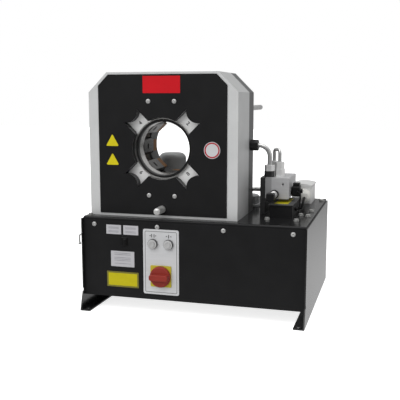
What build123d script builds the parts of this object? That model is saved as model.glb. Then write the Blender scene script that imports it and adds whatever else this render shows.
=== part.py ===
"""Bench hose crimping machine: a cabinet with an oil tank, a crimping head with eight
jaws closed by a sliding press ring, an electric motor and pump, and the valve manifold.

Millimetres, +X to the operator's right, +Y to the back, +Z up.  The origin is on the
floor, in the middle of the four foot bolt holes.
"""
from build123d import *
from math import cos, radians, sin, tan
import os

os.makedirs("parts", exist_ok=True)

# --- cabinet ---------------------------------------------------------------
BASE_WIDTH = 700.0          # over the two side panels
BASE_DEPTH = 576.0          # front panel face to rear panel face
DECK_TOP = 296.0            # height of the deck's upper face
DECK_THICK = 10.0
DECK_EDGE_R = 5.0           # rounded front edge of the deck
SIDE_THICK = 4.0
SHEET = 3.0                 # front and rear panel sheet
PANEL_BOTTOM = 46.0         # gap under the front panel
PANEL_RETURN = 22.0         # depth of the front panel's folded flanges
SIDE_DROP = 6.0             # side panels stop this far below the deck's upper face
SIDE_TAIL = 4.0             # side panels stand behind the rear panel
PANEL_GAP = 1.0             # between a side panel and the deck
SIDE_LEAD = 9.0             # side panels stand ahead of the front panel
TOE_LEAD = 30.0             # foot toe ahead of the front panel
TOE_TOP = 58.0              # height where the toe meets the front edge
NOTCH_HEIGHT = 10.0         # relief notch above the toe
NOTCH_DEPTH = 5.0
TOE_STEP = 2.0              # the toe's top ends this far ahead of the front edge
FOOT_WIDTH = 33.0           # foot flange turned inwards
FOOT_HOLE_R = 6.5
FOOT_HOLE_IN = 20.0         # foot holes in from the side panel's outer face
FOOT_HOLE_LEAD = 14.0       # front foot holes ahead of the front panel
FOOT_HOLE_TAIL = 30.0       # rear foot holes ahead of the rear panel
FIT = 0.3                   # gap between pieces that are only laid together
RUN = 0.05                  # radial running clearance of a shaft or a piston
BOLT_GAP = 0.2              # radial clearance of a bolt in its hole
CUT = 1.0                   # how far a cutting body stands past the face it cuts
VENT_ROWS = 6               # cooling slots in the rear panel
VENT_PITCH = 14.0
VENT_HEIGHT = 5.0
VENT_WIDTH = 120.0
VENT_IN = 46.0              # slots in from the panel's end
VENT_DROP = 76.0            # top slot below the deck
INLET_R = 10.2              # mains inlet hole in the rear panel
INLET_IN = 110.0            # inlet in from the cabinet's left side
INLET_Z = 100.0
PANEL_SCREWS = 4            # screws along the front panel's top
PANEL_SCREW_IN = 41.0       # end screws in from the side panels
PANEL_SCREW_DROP = 13.3     # screw centres below the deck
TANK_LEAD = 150.0           # tank front behind the front panel
TANK_TAIL = 16.0            # tank rear ahead of the rear panel
TANK_LEFT = 135.0           # tank in from the cabinet's left side
TANK_RIGHT = 25.0
TANK_BOTTOM = 60.0
TANK_WALL = 3.0
TANK_CORNER_R = 12.0
TANK_FOOT_R = 8.0

# --- crimping head ---------------------------------------------------------
HEAD_INSET = 15.0           # head in from the cabinet's left side
HEAD_WIDTH = 472.0
HEAD_HEIGHT = 440.0
HEAD_CHAMFER = 60.0
HEAD_SETBACK = 36.0         # head front behind the front panel face
HEAD_DEPTH = 154.0          # front plate and jaw chamber
BORE_HEIGHT = 210.5         # bore axis above the deck
FRONT_PLATE = 18.0          # wall of the head at the front
COVER_THICK = 2.0
COVER_WIDTH = 407.0
COVER_HEIGHT = 425.0
COVER_CHAMFER = 33.0
COVER_FOOT = 8.0            # cover's lower edge above the deck
WINDOW_HALF = 29.0          # half width of a diagonal window
WINDOW_ARC_R = 35.0         # concave end of a window, and the boss behind it
BOSS_SINK = 20.0            # boss centres inside the chamber wall
BOSS_LENGTH = 30.0          # inner bosses behind the front plate
SCREW_X = 41.0              # cover screws from the bore axis
SCREW_Z = 142.5
SLEEVE_LENGTH = 46.0
SLEEVE_WALL = 11.5
SLEEVE_GAP = 1.0            # between the sleeve and the guide cross
SLEEVE_CHAMFER = 2.0
GUIDE_GAP = 2.5             # between the sleeve's flange and the closed press ring
GUIDE_THICK = 9.0
CROSS_SETBACK = 6.0         # cross arms behind the front plate
CROSS_THICK = 18.0
CROSS_RIM = 8.0             # ring of the cross outside the mouth

# --- jaws and press ring ---------------------------------------------------
JAWS = 8
JAW_LENGTH = 87.0
JAW_OPEN_R = 80.0           # jaw faces from the axis, fully open
JAW_STROKE = 26.0           # radial travel of a jaw
JAW_GAP = 0.7               # between neighbouring jaws when closed
JAW_CHAMFER = 3.5
JAW_SETBACK = 1.5           # sleeve bore outside the open jaws
CONE_ANGLE = 30.0           # slope of the jaw backs
SLIDE_THICK = 6.0           # bronze slide on the jaw back
SLIDE_GAP = 0.1             # between a slide and the press ring
TAIL_LENGTH = 32.0          # bronze tail behind the jaw
TAIL_THICK = 10.5
TAIL_HALF = 18.0
TAIL_GAP = 3.1              # between the tails and the ring's rear lip
KEY_NECK = 14.0             # T-key that draws the jaw back
KEY_HEAD = 26.0
KEY_STEP = 6.0
KEY_GAP = 0.5
KEY_LEAD = 3.0              # key starts behind the jaw's front
KEY_LAP = 4.0               # key reaches behind the open ring's front
SLOT_SPARE = 1.0
PIN_HOLE_R = 6.0            # die pin hole in each jaw face
PIN_HOLE_AT = 37.0
PIN_HOLE_DEEP = 16.0
RING_WALL = 82.4            # press ring outside its rear lip
RING_GAP = 4.0              # chamber wall outside the press ring
RING_EDGE = 4.0
RING_SPARE = 2.0            # between the closed ring and the bosses
RING_TAIL = 1.0             # ring's rear face behind the jaws
BLOCK_DEPTH = 67.0          # annular cylinder block
HUB_GAP = 3.5               # hub bore outside the bronze tails
HUB_WALL = 10.0
PISTON_STEP = 16.0          # piston inside the ring's outer face
CHAMBER_FLOOR = 10.0
PISTON_SPARE = 1.0          # between the open piston and the cylinder's floor
SEAL = 6.0
SEAL_BACK = 4.0             # seals from the piston's rear end
TIE_R = 10.0                # tie bolts through the block into the head
TIE_IN = 40.0               # tie bolts in from the head's sides
TIE_UP = 32.5               # lower tie bolts above the deck
TIE_DOWN = 63.5             # upper tie bolts below the head's top
TIE_BITE = 36.0             # thread length in the head
TIE_HOLE = 40.0
TIE_HEAD_R = 15.0
TIE_HEAD_H = 12.0
SOCKET_SHARE = 0.55         # hexagon socket against the bolt head
SOCKET_DEEP = 7.2
STOP_ROD_R = 8.5            # depth stop rod on the block's rear
STOP_ROD_IN = 25.0          # rod in from the head's right side
STOP_ROD_UP = 330.0         # rod above the deck
STOP_ROD_LENGTH = 245.0
STOP_ROD_BITE = 18.0
STOP_ROD_END = 5.0
FRONT_PIN_UP = 26.0         # pull knob above the deck
FRONT_PIN_LENGTH = 51.0
FRONT_PIN_R = 8.0           # its shank in the front plate
FRONT_PIN_BITE = 12.0
KNOB_R = 11.0
KNOB_WAIST_R = 9.5
KNOB_HEAD = 18.0
COLLAR_R = 11.5

# --- controls --------------------------------------------------------------
CONTROL_X = -91.0           # middle of the control plate
CONTROL_WIDTH = 114.0
CONTROL_HEIGHT = 202.0
CONTROL_DROP = 20.0         # plate's top below the deck
CONTROL_THICK = 2.0
CONTROL_CORNER = 6.0
BUTTON_PITCH = 50.0
BUTTON_DROP = 44.5          # buttons below the plate's top
BUTTON_R = 11.0
BUTTON_TRAVEL = 4.0
BUTTON_OUT = 13.0           # cap's face in front of the plate
BUTTON_EDGE = 1.5
BUTTON_REACH = 14.0         # bottom of the bezel's bore behind the panel
BEZEL_WALL = 1.5
BEZEL_RIM = 4.0
BEZEL_OUT = 10.0
BEZEL_STEP = 2.0
BEZEL_TAIL = 24.0
CONTACT_HALF = 15.0
CONTACT_HIGH = 20.0
CONTACT_TAIL = 60.0
SWITCH_RISE = 57.5          # main switch above the plate's bottom
SWITCH_SIZE = 66.0
SWITCH_PLATE = 3.0
SWITCH_CORNER = 3.0
SWITCH_BODY_HALF = 26.0
SWITCH_BODY_TAIL = 58.0
SWITCH_SHAFT_R = 4.0
SHAFT_REACH = 28.0
SHAFT_SPARE = 2.0
HANDLE_R = 32.0
HANDLE_DEPTH = 12.0
HANDLE_EDGE = 3.0
HANDLE_SHRINK = 8.0         # panel hole inside the handle's rim
GRIP_HALF_LENGTH = 30.0
GRIP_HALF_WIDTH = 9.0
GRIP_HEIGHT = 14.0
GRIP_CORNER = 6.0
GRIP_EDGE = 2.0
RAIL_DEPTH = 8.0            # contactor rail on the tank
RAIL_LENGTH = 145.0
RAIL_HEIGHT = 35.0
RAIL_Z = 150.0
RAIL_IN = 10.0              # rail in from the tank's end
CONTACTOR_WIDE = 45.0
CONTACTOR_HIGH = 75.0
CONTACTOR_DEEP = 70.0
RELAY_SHRINK = 10.0         # the relay is lower and shallower than the contactor
DEVICE_GAP = 5.0

# --- screws and bolts ------------------------------------------------------
SCREW_R = 3.0
COVER_HEAD_R = 7.0
PANEL_HEAD_R = 6.0
BUTTON_HEAD_H = 3.5
COVER_SCREW_BITE = 14.0
PANEL_SCREW_BITE = 12.0
DECK_BOLT_HEX = 13.0
DECK_BOLT_H = 5.5
WASHER_R = 8.5
WASHER_H = 1.2
PLUG_R = 8.0                # round plug at the deck's rear right corner
PLUG_H = 7.0

# --- motor, pump and filter ------------------------------------------------
MOTOR_X = 8.0
MOTOR_LEAD = 430.0          # motor axis behind the front panel
MOTOR_R = 66.0
MOTOR_FIN = 12.0
MOTOR_FIN_THICK = 2.5
MOTOR_FINS = 28
MOTOR_BASE = 46.0           # adapter below the fins
MOTOR_BODY = 150.0
MOTOR_FLANGE_R = 80.0
MOTOR_FLANGE = 12.0
MOTOR_WAIST_R = 58.0
MOTOR_RIM_R = 78.0
MOTOR_SPIGOT_R = 60.0
MOTOR_SPIGOT = 6.0
MOTOR_SHAFT_R = 11.0
SHAFT_GAP = 1.0
TERMINAL_WIDE = 84.0
TERMINAL_DEEP = 46.0
TERMINAL_UP = 25.0
TERMINAL_HIGH = 85.0
TERMINAL_CORNER = 8.0
COWL_HEIGHT = 62.0
COWL_LAP = 8.0
COWL_WALL = 2.0
COWL_SLOTS = 16
COWL_SLOT_IN = 24.0
COWL_SLOT_OUT = 56.0
COWL_SLOT_HALF = 3.0
FAN_RISE = 12.0             # fan above the motor body
FAN_DISC_R = 24.0
FAN_BLADES = 8
FAN_BLADE_R = 58.0
FAN_BLADE_H = 16.0
FAN_BLADE_THICK = 3.0
COUPLING_R = 20.0
COUPLING_H = 20.0
PUMP_TUBE = 60.0            # bracket tube under the deck
PUMP_TUBE_R = 66.0
PUMP_RIM_R = 74.0
PUMP_PLATE = 8.0
PUMP_BORE_R = 24.0
PUMP_HALF_X = 38.0
PUMP_HALF_Y = 44.0
PUMP_HEIGHT = 80.0
PUMP_CORNER = 20.0
STRAINER_R = 24.0
STRAINER_LENGTH = 113.0
STRAINER_DROP = 50.0
FILTER_X = -158.0
FILTER_LEAD = 321.0
FILTER_R = 46.5
FILTER_HEIGHT = 135.0       # canister above its head
FILTER_HEAD = 44.0
FILTER_FLANGE_R = 50.0
FILTER_WAIST_R = 38.0
FILTER_RIM_R = 48.0
FILTER_PORT_R = 20.0
FILTER_DOME_R = 20.0
FILTER_DOME_ANGLE = 78.0
FILTER_DOME_DROP = 22.0
FILTER_SPOUT_R = 16.0
FILTER_SPOUT = 58.0
FILLER_X = 105.0
FILLER_LEAD = 350.0
FILLER_NECK_R = 16.0
FILLER_FLANGE_R = 41.0
FILLER_CAP_R = 35.0
FILLER_WAIST_R = 34.0
FILLER_HEIGHT = 38.0
FILLER_FLANGE = 7.0
FILLER_EDGE = 4.0
FILLER_GRIPS = 16
FILLER_GRIP_R = 2.0

# --- hydraulics on the deck ------------------------------------------------
BRACKET_GAP = 38.0          # manifold bracket from the head's right side
BRACKET_THICK = 16.0
MANIFOLD_WIDTH = 75.0
MANIFOLD_LEAD = 188.0       # manifold front behind the front panel
MANIFOLD_DEPTH = 147.0
MANIFOLD_UP = 50.0          # manifold above the deck
MANIFOLD_HEIGHT = 66.0
MANIFOLD_EDGE = 2.0
PLUG_HOLE_R = 3.5           # small threaded hole in the manifold's front
PLUG_HOLE_IN = 19.0
PLUG_HOLE_DOWN = 20.0
PORT_LEAD = 25.0            # pressure port behind the block's front
PORT_RISE = 99.0            # pressure port above the manifold
PORT_R = 9.0
PORT_DEEP = 24.0
PIPE_R = 7.2
PIPE_BEND = 35.0
PIPE_DROP_IN = 8.5          # pipe's drop in from the manifold's left face
PIPE_SEAT = 12.0            # tubes end this deep in their fittings
ADAPTER_HEX = 30.0
ADAPTER_LENGTH = 26.0
DROP_HEX = 29.0
DROP_ADAPTER = 18.0
DROP_NUT_HEX = 28.0
DROP_NUT = 20.0
JUMPER_R = 5.75
JUMPER_RISE = 84.5
JUMPER_BEND = 12.0
JUMPER_FRONT = (36.5, 50.0) # first end, from the manifold's front left corner
JUMPER_REAR = (14.5, 78.0)
JUMPER_HEX = 30.0
JUMPER_ADAPTER = 24.0
JUMPER_NUT_HEX = 27.0
JUMPER_NUT = 22.0
REAR_PIPE_R = 7.0
REAR_PIPE_SPARE = 3.0       # round the pipe in the bracket
REAR_PIPE_UP = 62.0
REAR_PIPE_LEAD = 312.0
REAR_PIPE_BEND = 24.0
REAR_PORT_R = 9.0
REAR_PORT_DEEP = 18.0
REAR_NUT_HEX = 26.0
REAR_NUT = 26.0
THREAD_SPARE = 2.0          # blind threads are this much deeper than their screws
NUT_EDGE = 1.5              # chamfer on nuts and bolt heads
RELIEF_IN = 30.0            # relief valve from the manifold's left face
RELIEF_UP = 15.0            # relief valve above the manifold's bottom
RELIEF_LENGTH = 60.0
RELIEF_THREAD_R = 8.0
RELIEF_REACH = 28.0
RELIEF_STEM_R = 7.0
RELIEF_COLLAR_R = 14.0
RELIEF_COLLAR = 8.0
RELIEF_RIB_R = 11.5
RELIEF_GROOVE_R = 9.5
RELIEF_RIBS = 10
RELIEF_RIB_PITCH = 4.5
RELIEF_KNOB = 24.0
RELIEF_KNOB_CORNER = 5.0
RELIEF_KNOB_EDGE = 2.0
COIL_UP = 20.0              # coil axis above the manifold's bottom
COIL_LEAD = 55.0            # coil axis behind the manifold's front
COIL_STEM_R = 11.0
COIL_OUT = 4.0
COIL_DEEP = 24.0
COIL_HALF_Y = 17.0
COIL_HALF_Z = 16.0
COIL_CORNER = 4.0
COIL_NUT_R = 7.0
COIL_NUT = 7.0
PLUG_HALF_Y = 12.0
PLUG_IN = 2.0
PLUG_HEIGHT = 10.0
LEAD_R = 2.5
LEAD_OUT = 9.0              # lead stands this far outside the junction box
LEAD_BEND = 7.0
GLAND_R = 6.0
GLAND = 6.0

# --- electrics on the deck -------------------------------------------------
JUNCTION_IN = 22.0          # junction box from the manifold's left face
JUNCTION_WIDTH = 70.0
JUNCTION_LEAD = 144.0
JUNCTION_DEPTH = 162.0
JUNCTION_HEIGHT = 34.0
JUNCTION_LID = 5.0
JUNCTION_LIP = 2.0
JUNCTION_CORNER = 3.0
REAR_BOX_IN = 44.0          # terminal box in from the cabinet's right side
REAR_BOX_WIDTH = 68.0
REAR_BOX_LEAD = 440.0
REAR_BOX_DEPTH = 118.0
REAR_BOX_HEIGHT = 58.0
REAR_BOX_LID = 6.0
REAR_BOX_LIP = 2.0
REAR_BOX_CROWN = 5.0
REAR_BOX_CORNER = 6.0
CONDUIT_IN = 62.0           # conduit axis in from the cabinet's right side
CONDUIT_LEAD = 394.0        # conduit's foot behind the front panel
CONDUIT_SWAY = 14.0         # its free end stands this far to the left
CONDUIT_GAP = 4.0           # free end behind the manifold's rear
CONDUIT_UP = 48.0
CONDUIT_R = 13.0
CONDUIT_RIB_R = 15.0
CONDUIT_RIB = 2.4
CONDUIT_RIBS = 22
CONDUIT_BEND = 26.0
HOOK_PLATE = 4.0            # plate of the side hook
HOOK_PLATE_DEPTH = 22.0
HOOK_PLATE_HEIGHT = 30.0
HOOK_LEAD = 4.0             # plate behind the front panel face
HOOK_DROP = 86.0            # plate's bottom below the deck
HOOK_CORNER = 5.0
HOOK_ROD_R = 2.6
HOOK_OUT = 14.0
HOOK_REACH = 30.0
HOOK_BEND = 8.0
HOOK_BALL_R = 4.5

# --- sizes that follow -----------------------------------------------------
FOOT_SPAN_X = BASE_WIDTH - 2 * FOOT_HOLE_IN
FOOT_SPAN_Y = BASE_DEPTH + FOOT_HOLE_LEAD - FOOT_HOLE_TAIL
FRONT = FOOT_HOLE_LEAD - FOOT_SPAN_Y / 2
REAR = FRONT + BASE_DEPTH
LEFT = -BASE_WIDTH / 2
RIGHT = BASE_WIDTH / 2
INNER_X = RIGHT - SIDE_THICK
DECK_X = INNER_X - PANEL_GAP
DECK_LOW = DECK_TOP - DECK_THICK
PANEL_SCREW_Z = DECK_LOW - PANEL_SCREW_DROP
TANK_FRONT = FRONT + TANK_LEAD
TANK_REAR = REAR - TANK_TAIL
SLOPE = tan(radians(CONE_ANGLE))
SLANT = 1 / cos(radians(CONE_ANGLE))
STEP_DEGREES = 360.0 / JAWS
HALF_STEP = radians(STEP_DEGREES / 2)
RING_TRAVEL = JAW_STROKE / SLOPE
BORE_X = LEFT + HEAD_INSET + HEAD_WIDTH / 2
BORE_Z = DECK_TOP + BORE_HEIGHT
HEAD_RIGHT = BORE_X + HEAD_WIDTH / 2
HEAD_TOP = DECK_TOP + HEAD_HEIGHT
HEAD_FRONT = FRONT + HEAD_SETBACK
COVER_FRONT = HEAD_FRONT - COVER_THICK
CHAMBER_FRONT = HEAD_FRONT + FRONT_PLATE
BLOCK_FRONT = HEAD_FRONT + HEAD_DEPTH
BLOCK_REAR = BLOCK_FRONT + BLOCK_DEPTH
CROSS_FRONT = CHAMBER_FRONT + CROSS_SETBACK
CROSS_REAR = CROSS_FRONT + CROSS_THICK
BOSS_REAR = CHAMBER_FRONT + BOSS_LENGTH
JAW_FRONT = CHAMBER_FRONT + SLEEVE_LENGTH
JAW_REAR = JAW_FRONT + JAW_LENGTH
SLEEVE_REAR = JAW_FRONT - FIT
SLEEVE_R = JAW_OPEN_R + JAW_SETBACK
SLEEVE_OUT_R = SLEEVE_R + SLEEVE_WALL
MOUTH_R = SLEEVE_OUT_R + SLEEVE_GAP
TAIL_TOP_R = JAW_OPEN_R + TAIL_THICK
RING_LIP_R = TAIL_TOP_R + TAIL_GAP
SLIDE_REAR_R = RING_LIP_R - SLIDE_GAP
RING_R = RING_LIP_R + RING_WALL
RING_FRONT = BOSS_REAR + RING_SPARE + RING_TRAVEL
RING_REAR = JAW_REAR + RING_TAIL
CHAMBER_R = RING_R + RING_GAP
WINDOW_ARC_AT = CHAMBER_R - BOSS_SINK
HUB_IN_R = TAIL_TOP_R + HUB_GAP
HUB_OUT_R = HUB_IN_R + HUB_WALL
PISTON_R = RING_R - PISTON_STEP
PISTON_END = BLOCK_REAR - CHAMBER_FLOOR - PISTON_SPARE
KEY_FRONT = JAW_FRONT + KEY_LEAD
KEY_REAR = RING_FRONT + KEY_LAP
SLOT_REAR = KEY_REAR + RING_TRAVEL + SLOT_SPARE
GUIDE_R = SLIDE_REAR_R + (JAW_REAR - SLEEVE_REAR - RING_TRAVEL) * SLOPE - GUIDE_GAP
FRONT_PIN_Z = DECK_TOP + FRONT_PIN_UP
STOP_ROD_X = HEAD_RIGHT - STOP_ROD_IN
STOP_ROD_Z = DECK_TOP + STOP_ROD_UP
CONTROL_TOP = DECK_LOW - CONTROL_DROP
CONTROL_BOTTOM = CONTROL_TOP - CONTROL_HEIGHT
CONTROL_FACE = FRONT - CONTROL_THICK
BUTTON_Z = CONTROL_TOP - BUTTON_DROP
BUTTON_XS = (CONTROL_X - BUTTON_PITCH / 2, CONTROL_X + BUTTON_PITCH / 2)
SWITCH_Z = CONTROL_BOTTOM + SWITCH_RISE
SWITCH_HOLE_R = HANDLE_R - HANDLE_SHRINK
MOTOR_Y = FRONT + MOTOR_LEAD
MOTOR_LOW = DECK_TOP + MOTOR_BASE
MOTOR_HIGH = MOTOR_LOW + MOTOR_BODY
FILTER_Y = FRONT + FILTER_LEAD
FILLER_Y = FRONT + FILLER_LEAD
BRACKET_X = HEAD_RIGHT + BRACKET_GAP
MANIFOLD_X = BRACKET_X + BRACKET_THICK
MANIFOLD_FRONT = FRONT + MANIFOLD_LEAD
MANIFOLD_REAR = MANIFOLD_FRONT + MANIFOLD_DEPTH
MANIFOLD_BOTTOM = DECK_TOP + MANIFOLD_UP
MANIFOLD_TOP = MANIFOLD_BOTTOM + MANIFOLD_HEIGHT
PORT_Y = BLOCK_FRONT + PORT_LEAD
PORT_Z = MANIFOLD_TOP + PORT_RISE
PIPE_DROP_X = MANIFOLD_X + PIPE_DROP_IN
REAR_PIPE_X = HEAD_RIGHT - STOP_ROD_IN
REAR_PIPE_Y = FRONT + REAR_PIPE_LEAD
REAR_PIPE_Z = DECK_TOP + REAR_PIPE_UP
RELIEF_X = MANIFOLD_X + RELIEF_IN
RELIEF_Z = MANIFOLD_BOTTOM + RELIEF_UP
COIL_X = MANIFOLD_X + MANIFOLD_WIDTH + COIL_OUT
COIL_Y = MANIFOLD_FRONT + COIL_LEAD
COIL_Z = MANIFOLD_BOTTOM + COIL_UP
JUNCTION_X = MANIFOLD_X + JUNCTION_IN
JUNCTION_Y = FRONT + JUNCTION_LEAD
JUNCTION_TOP = DECK_TOP + JUNCTION_HEIGHT
REAR_BOX_X = RIGHT - REAR_BOX_IN - REAR_BOX_WIDTH
REAR_BOX_Y = FRONT + REAR_BOX_LEAD
REAR_BOX_TOP = DECK_TOP + REAR_BOX_HEIGHT


def block(x0, x1, y0, y1, z0, z1):
    """A box between two corners."""
    size = (x1 - x0, y1 - y0, z1 - z0)
    return Pos((x0 + x1) / 2, (y0 + y1) / 2, (z0 + z1) / 2) * Box(*size)


def rod_x(radius, x0, x1, y, z):
    return Pos((x0 + x1) / 2, y, z) * Rot(0, 90, 0) * Cylinder(radius, x1 - x0)


def rod_y(radius, y0, y1, x, z):
    return Pos(x, (y0 + y1) / 2, z) * Rot(90, 0, 0) * Cylinder(radius, y1 - y0)


def rod_z(radius, z0, z1, x, y):
    return Pos(x, y, (z0 + z1) / 2) * Cylinder(radius, z1 - z0)


def turned_y(points, x=BORE_X, z=BORE_Z):
    """A body of revolution about an axis along Y, from (radius, y) points."""
    face = make_face(Polyline(*points, close=True))
    return Pos(x, 0, z) * revolve(face, Axis.Y, 360)


def turned_z(points, x, y):
    """A body of revolution about an upright axis, from (radius, z) points."""
    face = make_face(Polyline(*points, close=True))
    return Pos(x, y, 0) * Rot(90, 0, 0) * revolve(face, Axis.Y, 360)


def hex_nut(across, length):
    """A hexagon nut standing on the origin, its corners turned off at both ends."""
    prism = extrude(RegularPolygon(across / 2, 6, major_radius=False), amount=length)
    corner = across / 2 / cos(radians(30))
    face_r = corner - NUT_EDGE
    envelope = turned_z(
        [(0, 0), (face_r, 0), (corner, NUT_EDGE * SLOPE), (corner, length - NUT_EDGE * SLOPE),
         (face_r, length), (0, length)],
        0, 0,
    )
    return prism & envelope


def around_bore(shape, index):
    """Turn a shape modelled above the bore axis to the place of one jaw."""
    return Pos(BORE_X, 0, BORE_Z) * Rot(0, index * STEP_DEGREES, 0) * shape


def on_diagonals(shape):
    """The four copies of a shape that lie between the axes of the bore."""
    return [around_bore(shape, (2 * quarter + 1) * JAWS / 8) for quarter in range(4)]


def save(name, shape):
    export_step(shape, f"parts/{name}.step")


# --- cabinet ---------------------------------------------------------------
def side_panel(side):
    """Bent sheet side with a sloping toe and a foot flange turned inwards."""
    top = DECK_TOP - SIDE_DROP
    rear = REAR + SIDE_TAIL
    edge = FRONT - SIDE_LEAD
    outline = Polyline(
        (FRONT - TOE_LEAD, 0),
        (edge - TOE_STEP, TOE_TOP),
        (edge + NOTCH_DEPTH, TOE_TOP),
        (edge + NOTCH_DEPTH, TOE_TOP + NOTCH_HEIGHT),
        (edge, TOE_TOP + NOTCH_HEIGHT),
        (edge, top),
        (rear, top),
        (rear, 0),
        close=True,
    )
    sheet = Pos(INNER_X, 0, 0) * extrude(Plane.YZ * make_face(outline), amount=SIDE_THICK)
    foot = block(RIGHT - FOOT_WIDTH, INNER_X, FRONT - TOE_LEAD, rear, 0, SIDE_THICK)
    for y in (-FOOT_SPAN_Y / 2, FOOT_SPAN_Y / 2):
        foot -= rod_z(FOOT_HOLE_R, -CUT, SIDE_THICK + CUT, FOOT_SPAN_X / 2, y)
    panel = sheet + foot
    return panel if side > 0 else mirror(panel, Plane.YZ)


def control_holes():
    """Round holes for the two buttons and the main switch."""
    y0 = CONTROL_FACE - CUT
    y1 = FRONT + SHEET + CUT
    cut = rod_y(SWITCH_HOLE_R, y0, y1, CONTROL_X, SWITCH_Z)
    for x in BUTTON_XS:
        cut += rod_y(BUTTON_R + BOLT_GAP, y0, y1, x, BUTTON_Z)
    return cut


def panel_screw_xs():
    """Places of the screws along the front panel's top."""
    end = INNER_X + SIDE_THICK - PANEL_SCREW_IN
    return [-end + 2 * end * index / (PANEL_SCREWS - 1) for index in range(PANEL_SCREWS)]


def front_panel():
    """Folded sheet with return flanges at both ends and along the bottom."""
    rear = FRONT + PANEL_RETURN
    panel = block(-INNER_X, INNER_X, FRONT, FRONT + SHEET, PANEL_BOTTOM, DECK_LOW)
    panel += block(-INNER_X, INNER_X, FRONT, rear, PANEL_BOTTOM, PANEL_BOTTOM + SHEET)
    panel += block(-INNER_X, SHEET - INNER_X, FRONT, rear, PANEL_BOTTOM, DECK_LOW)
    panel += block(INNER_X - SHEET, INNER_X, FRONT, rear, PANEL_BOTTOM, DECK_LOW)
    for x in panel_screw_xs():
        panel -= rod_y(SCREW_R + BOLT_GAP, FRONT - CUT, FRONT + SHEET + CUT, x, PANEL_SCREW_Z)
    return panel - control_holes()


def rear_panel():
    """Flat rear sheet with cooling slots and the mains inlet hole."""
    y0 = REAR - SHEET - CUT
    y1 = REAR + CUT
    panel = block(-INNER_X, INNER_X, REAR - SHEET, REAR, PANEL_BOTTOM, DECK_LOW)
    x0 = VENT_IN - INNER_X
    for row in range(VENT_ROWS):
        z = DECK_LOW - VENT_DROP - row * VENT_PITCH
        panel -= block(x0, x0 + VENT_WIDTH, y0, y1, z, z + VENT_HEIGHT)
    return panel - rod_y(INLET_R, y0, y1, LEFT + INLET_IN, INLET_Z)


def deck_plate():
    """Thick top plate with a rounded front edge, open where pipes and pump pass."""
    plate = block(-DECK_X, DECK_X, FRONT, REAR, DECK_LOW, DECK_TOP)
    edge = plate.edges().filter_by(Axis.X).group_by(Axis.Z)[-1].sort_by(Axis.Y)[0]
    plate = fillet(edge, DECK_EDGE_R)
    z0 = DECK_LOW - CUT
    z1 = DECK_TOP + CUT
    plate -= rod_z(MOTOR_SPIGOT_R + FIT, z0, z1, MOTOR_X, MOTOR_Y)
    plate -= rod_z(FILTER_PORT_R + FIT, z0, z1, FILTER_X, FILTER_Y)
    return plate - rod_z(FILLER_NECK_R + FIT, z0, z1, FILLER_X, FILLER_Y)


def oil_tank():
    """Welded tank hung under the deck, open at the top and closed by the deck."""
    x0 = LEFT + TANK_LEFT
    x1 = RIGHT - TANK_RIGHT
    wall = TANK_WALL
    tank = block(x0, x1, TANK_FRONT, TANK_REAR, TANK_BOTTOM, DECK_LOW)
    tank = fillet(tank.edges().filter_by(Axis.Z), TANK_CORNER_R)
    tank = fillet(tank.faces().sort_by(Axis.Z)[0].edges(), TANK_FOOT_R)
    hollow = block(
        x0 + wall, x1 - wall, TANK_FRONT + wall, TANK_REAR - wall, TANK_BOTTOM + wall, DECK_LOW + CUT
    )
    return tank - fillet(hollow.edges().filter_by(Axis.Z), TANK_CORNER_R - wall)


# --- controls --------------------------------------------------------------
def control_plate():
    """Anodised plate on the front panel."""
    x0 = CONTROL_X - CONTROL_WIDTH / 2
    plate = block(x0, x0 + CONTROL_WIDTH, CONTROL_FACE, FRONT, CONTROL_BOTTOM, CONTROL_TOP)
    return fillet(plate.edges().filter_by(Axis.Y), CONTROL_CORNER) - control_holes()


def button_bezel(x):
    """Threaded bezel with its contact block behind the panel."""
    bore = BUTTON_R - BEZEL_WALL
    rim = BUTTON_R + BEZEL_RIM
    tail = FRONT + BEZEL_TAIL
    ring = turned_y(
        [
            (bore, CONTROL_FACE - BEZEL_OUT), (rim - BEZEL_WALL, CONTROL_FACE - BEZEL_OUT),
            (rim, CONTROL_FACE - BEZEL_OUT + BEZEL_STEP), (rim, CONTROL_FACE), (BUTTON_R, CONTROL_FACE),
            (BUTTON_R, tail), (0, tail), (0, FRONT + BUTTON_REACH), (bore, FRONT + BUTTON_REACH),
        ],
        x, BUTTON_Z,
    )
    return ring + block(
        x - CONTACT_HALF, x + CONTACT_HALF, tail, FRONT + CONTACT_TAIL,
        BUTTON_Z - CONTACT_HIGH, BUTTON_Z + CONTACT_HIGH,
    )


def button_bezels():
    return Compound(children=[button_bezel(x) for x in BUTTON_XS])


def push_button(x):
    """Round cap on a plunger that slides in its bezel."""
    face = CONTROL_FACE - BUTTON_OUT
    end = FRONT + BUTTON_REACH - BUTTON_TRAVEL - FIT
    r = BUTTON_R - BEZEL_WALL - RUN
    return turned_y(
        [(0, face), (r - BUTTON_EDGE, face), (r, face + BUTTON_EDGE), (r, end), (0, end)], x, BUTTON_Z
    )


def main_switch():
    """Square plate with the switch body behind the panel."""
    half = SWITCH_SIZE / 2
    body = SWITCH_BODY_HALF
    plate = block(
        CONTROL_X - half, CONTROL_X + half, CONTROL_FACE - SWITCH_PLATE, CONTROL_FACE,
        SWITCH_Z - half, SWITCH_Z + half,
    )
    plate = fillet(plate.edges().filter_by(Axis.Y), SWITCH_CORNER)
    plate += rod_y(SWITCH_HOLE_R - FIT, CONTROL_FACE, FRONT + SHEET, CONTROL_X, SWITCH_Z)
    plate += block(
        CONTROL_X - body, CONTROL_X + body, FRONT + SHEET, FRONT + SWITCH_BODY_TAIL,
        SWITCH_Z - body, SWITCH_Z + body,
    )
    return plate - rod_y(
        SWITCH_SHAFT_R + RUN, CONTROL_FACE - SWITCH_PLATE - CUT, FRONT + SHAFT_REACH + SHAFT_SPARE,
        CONTROL_X, SWITCH_Z,
    )


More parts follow.
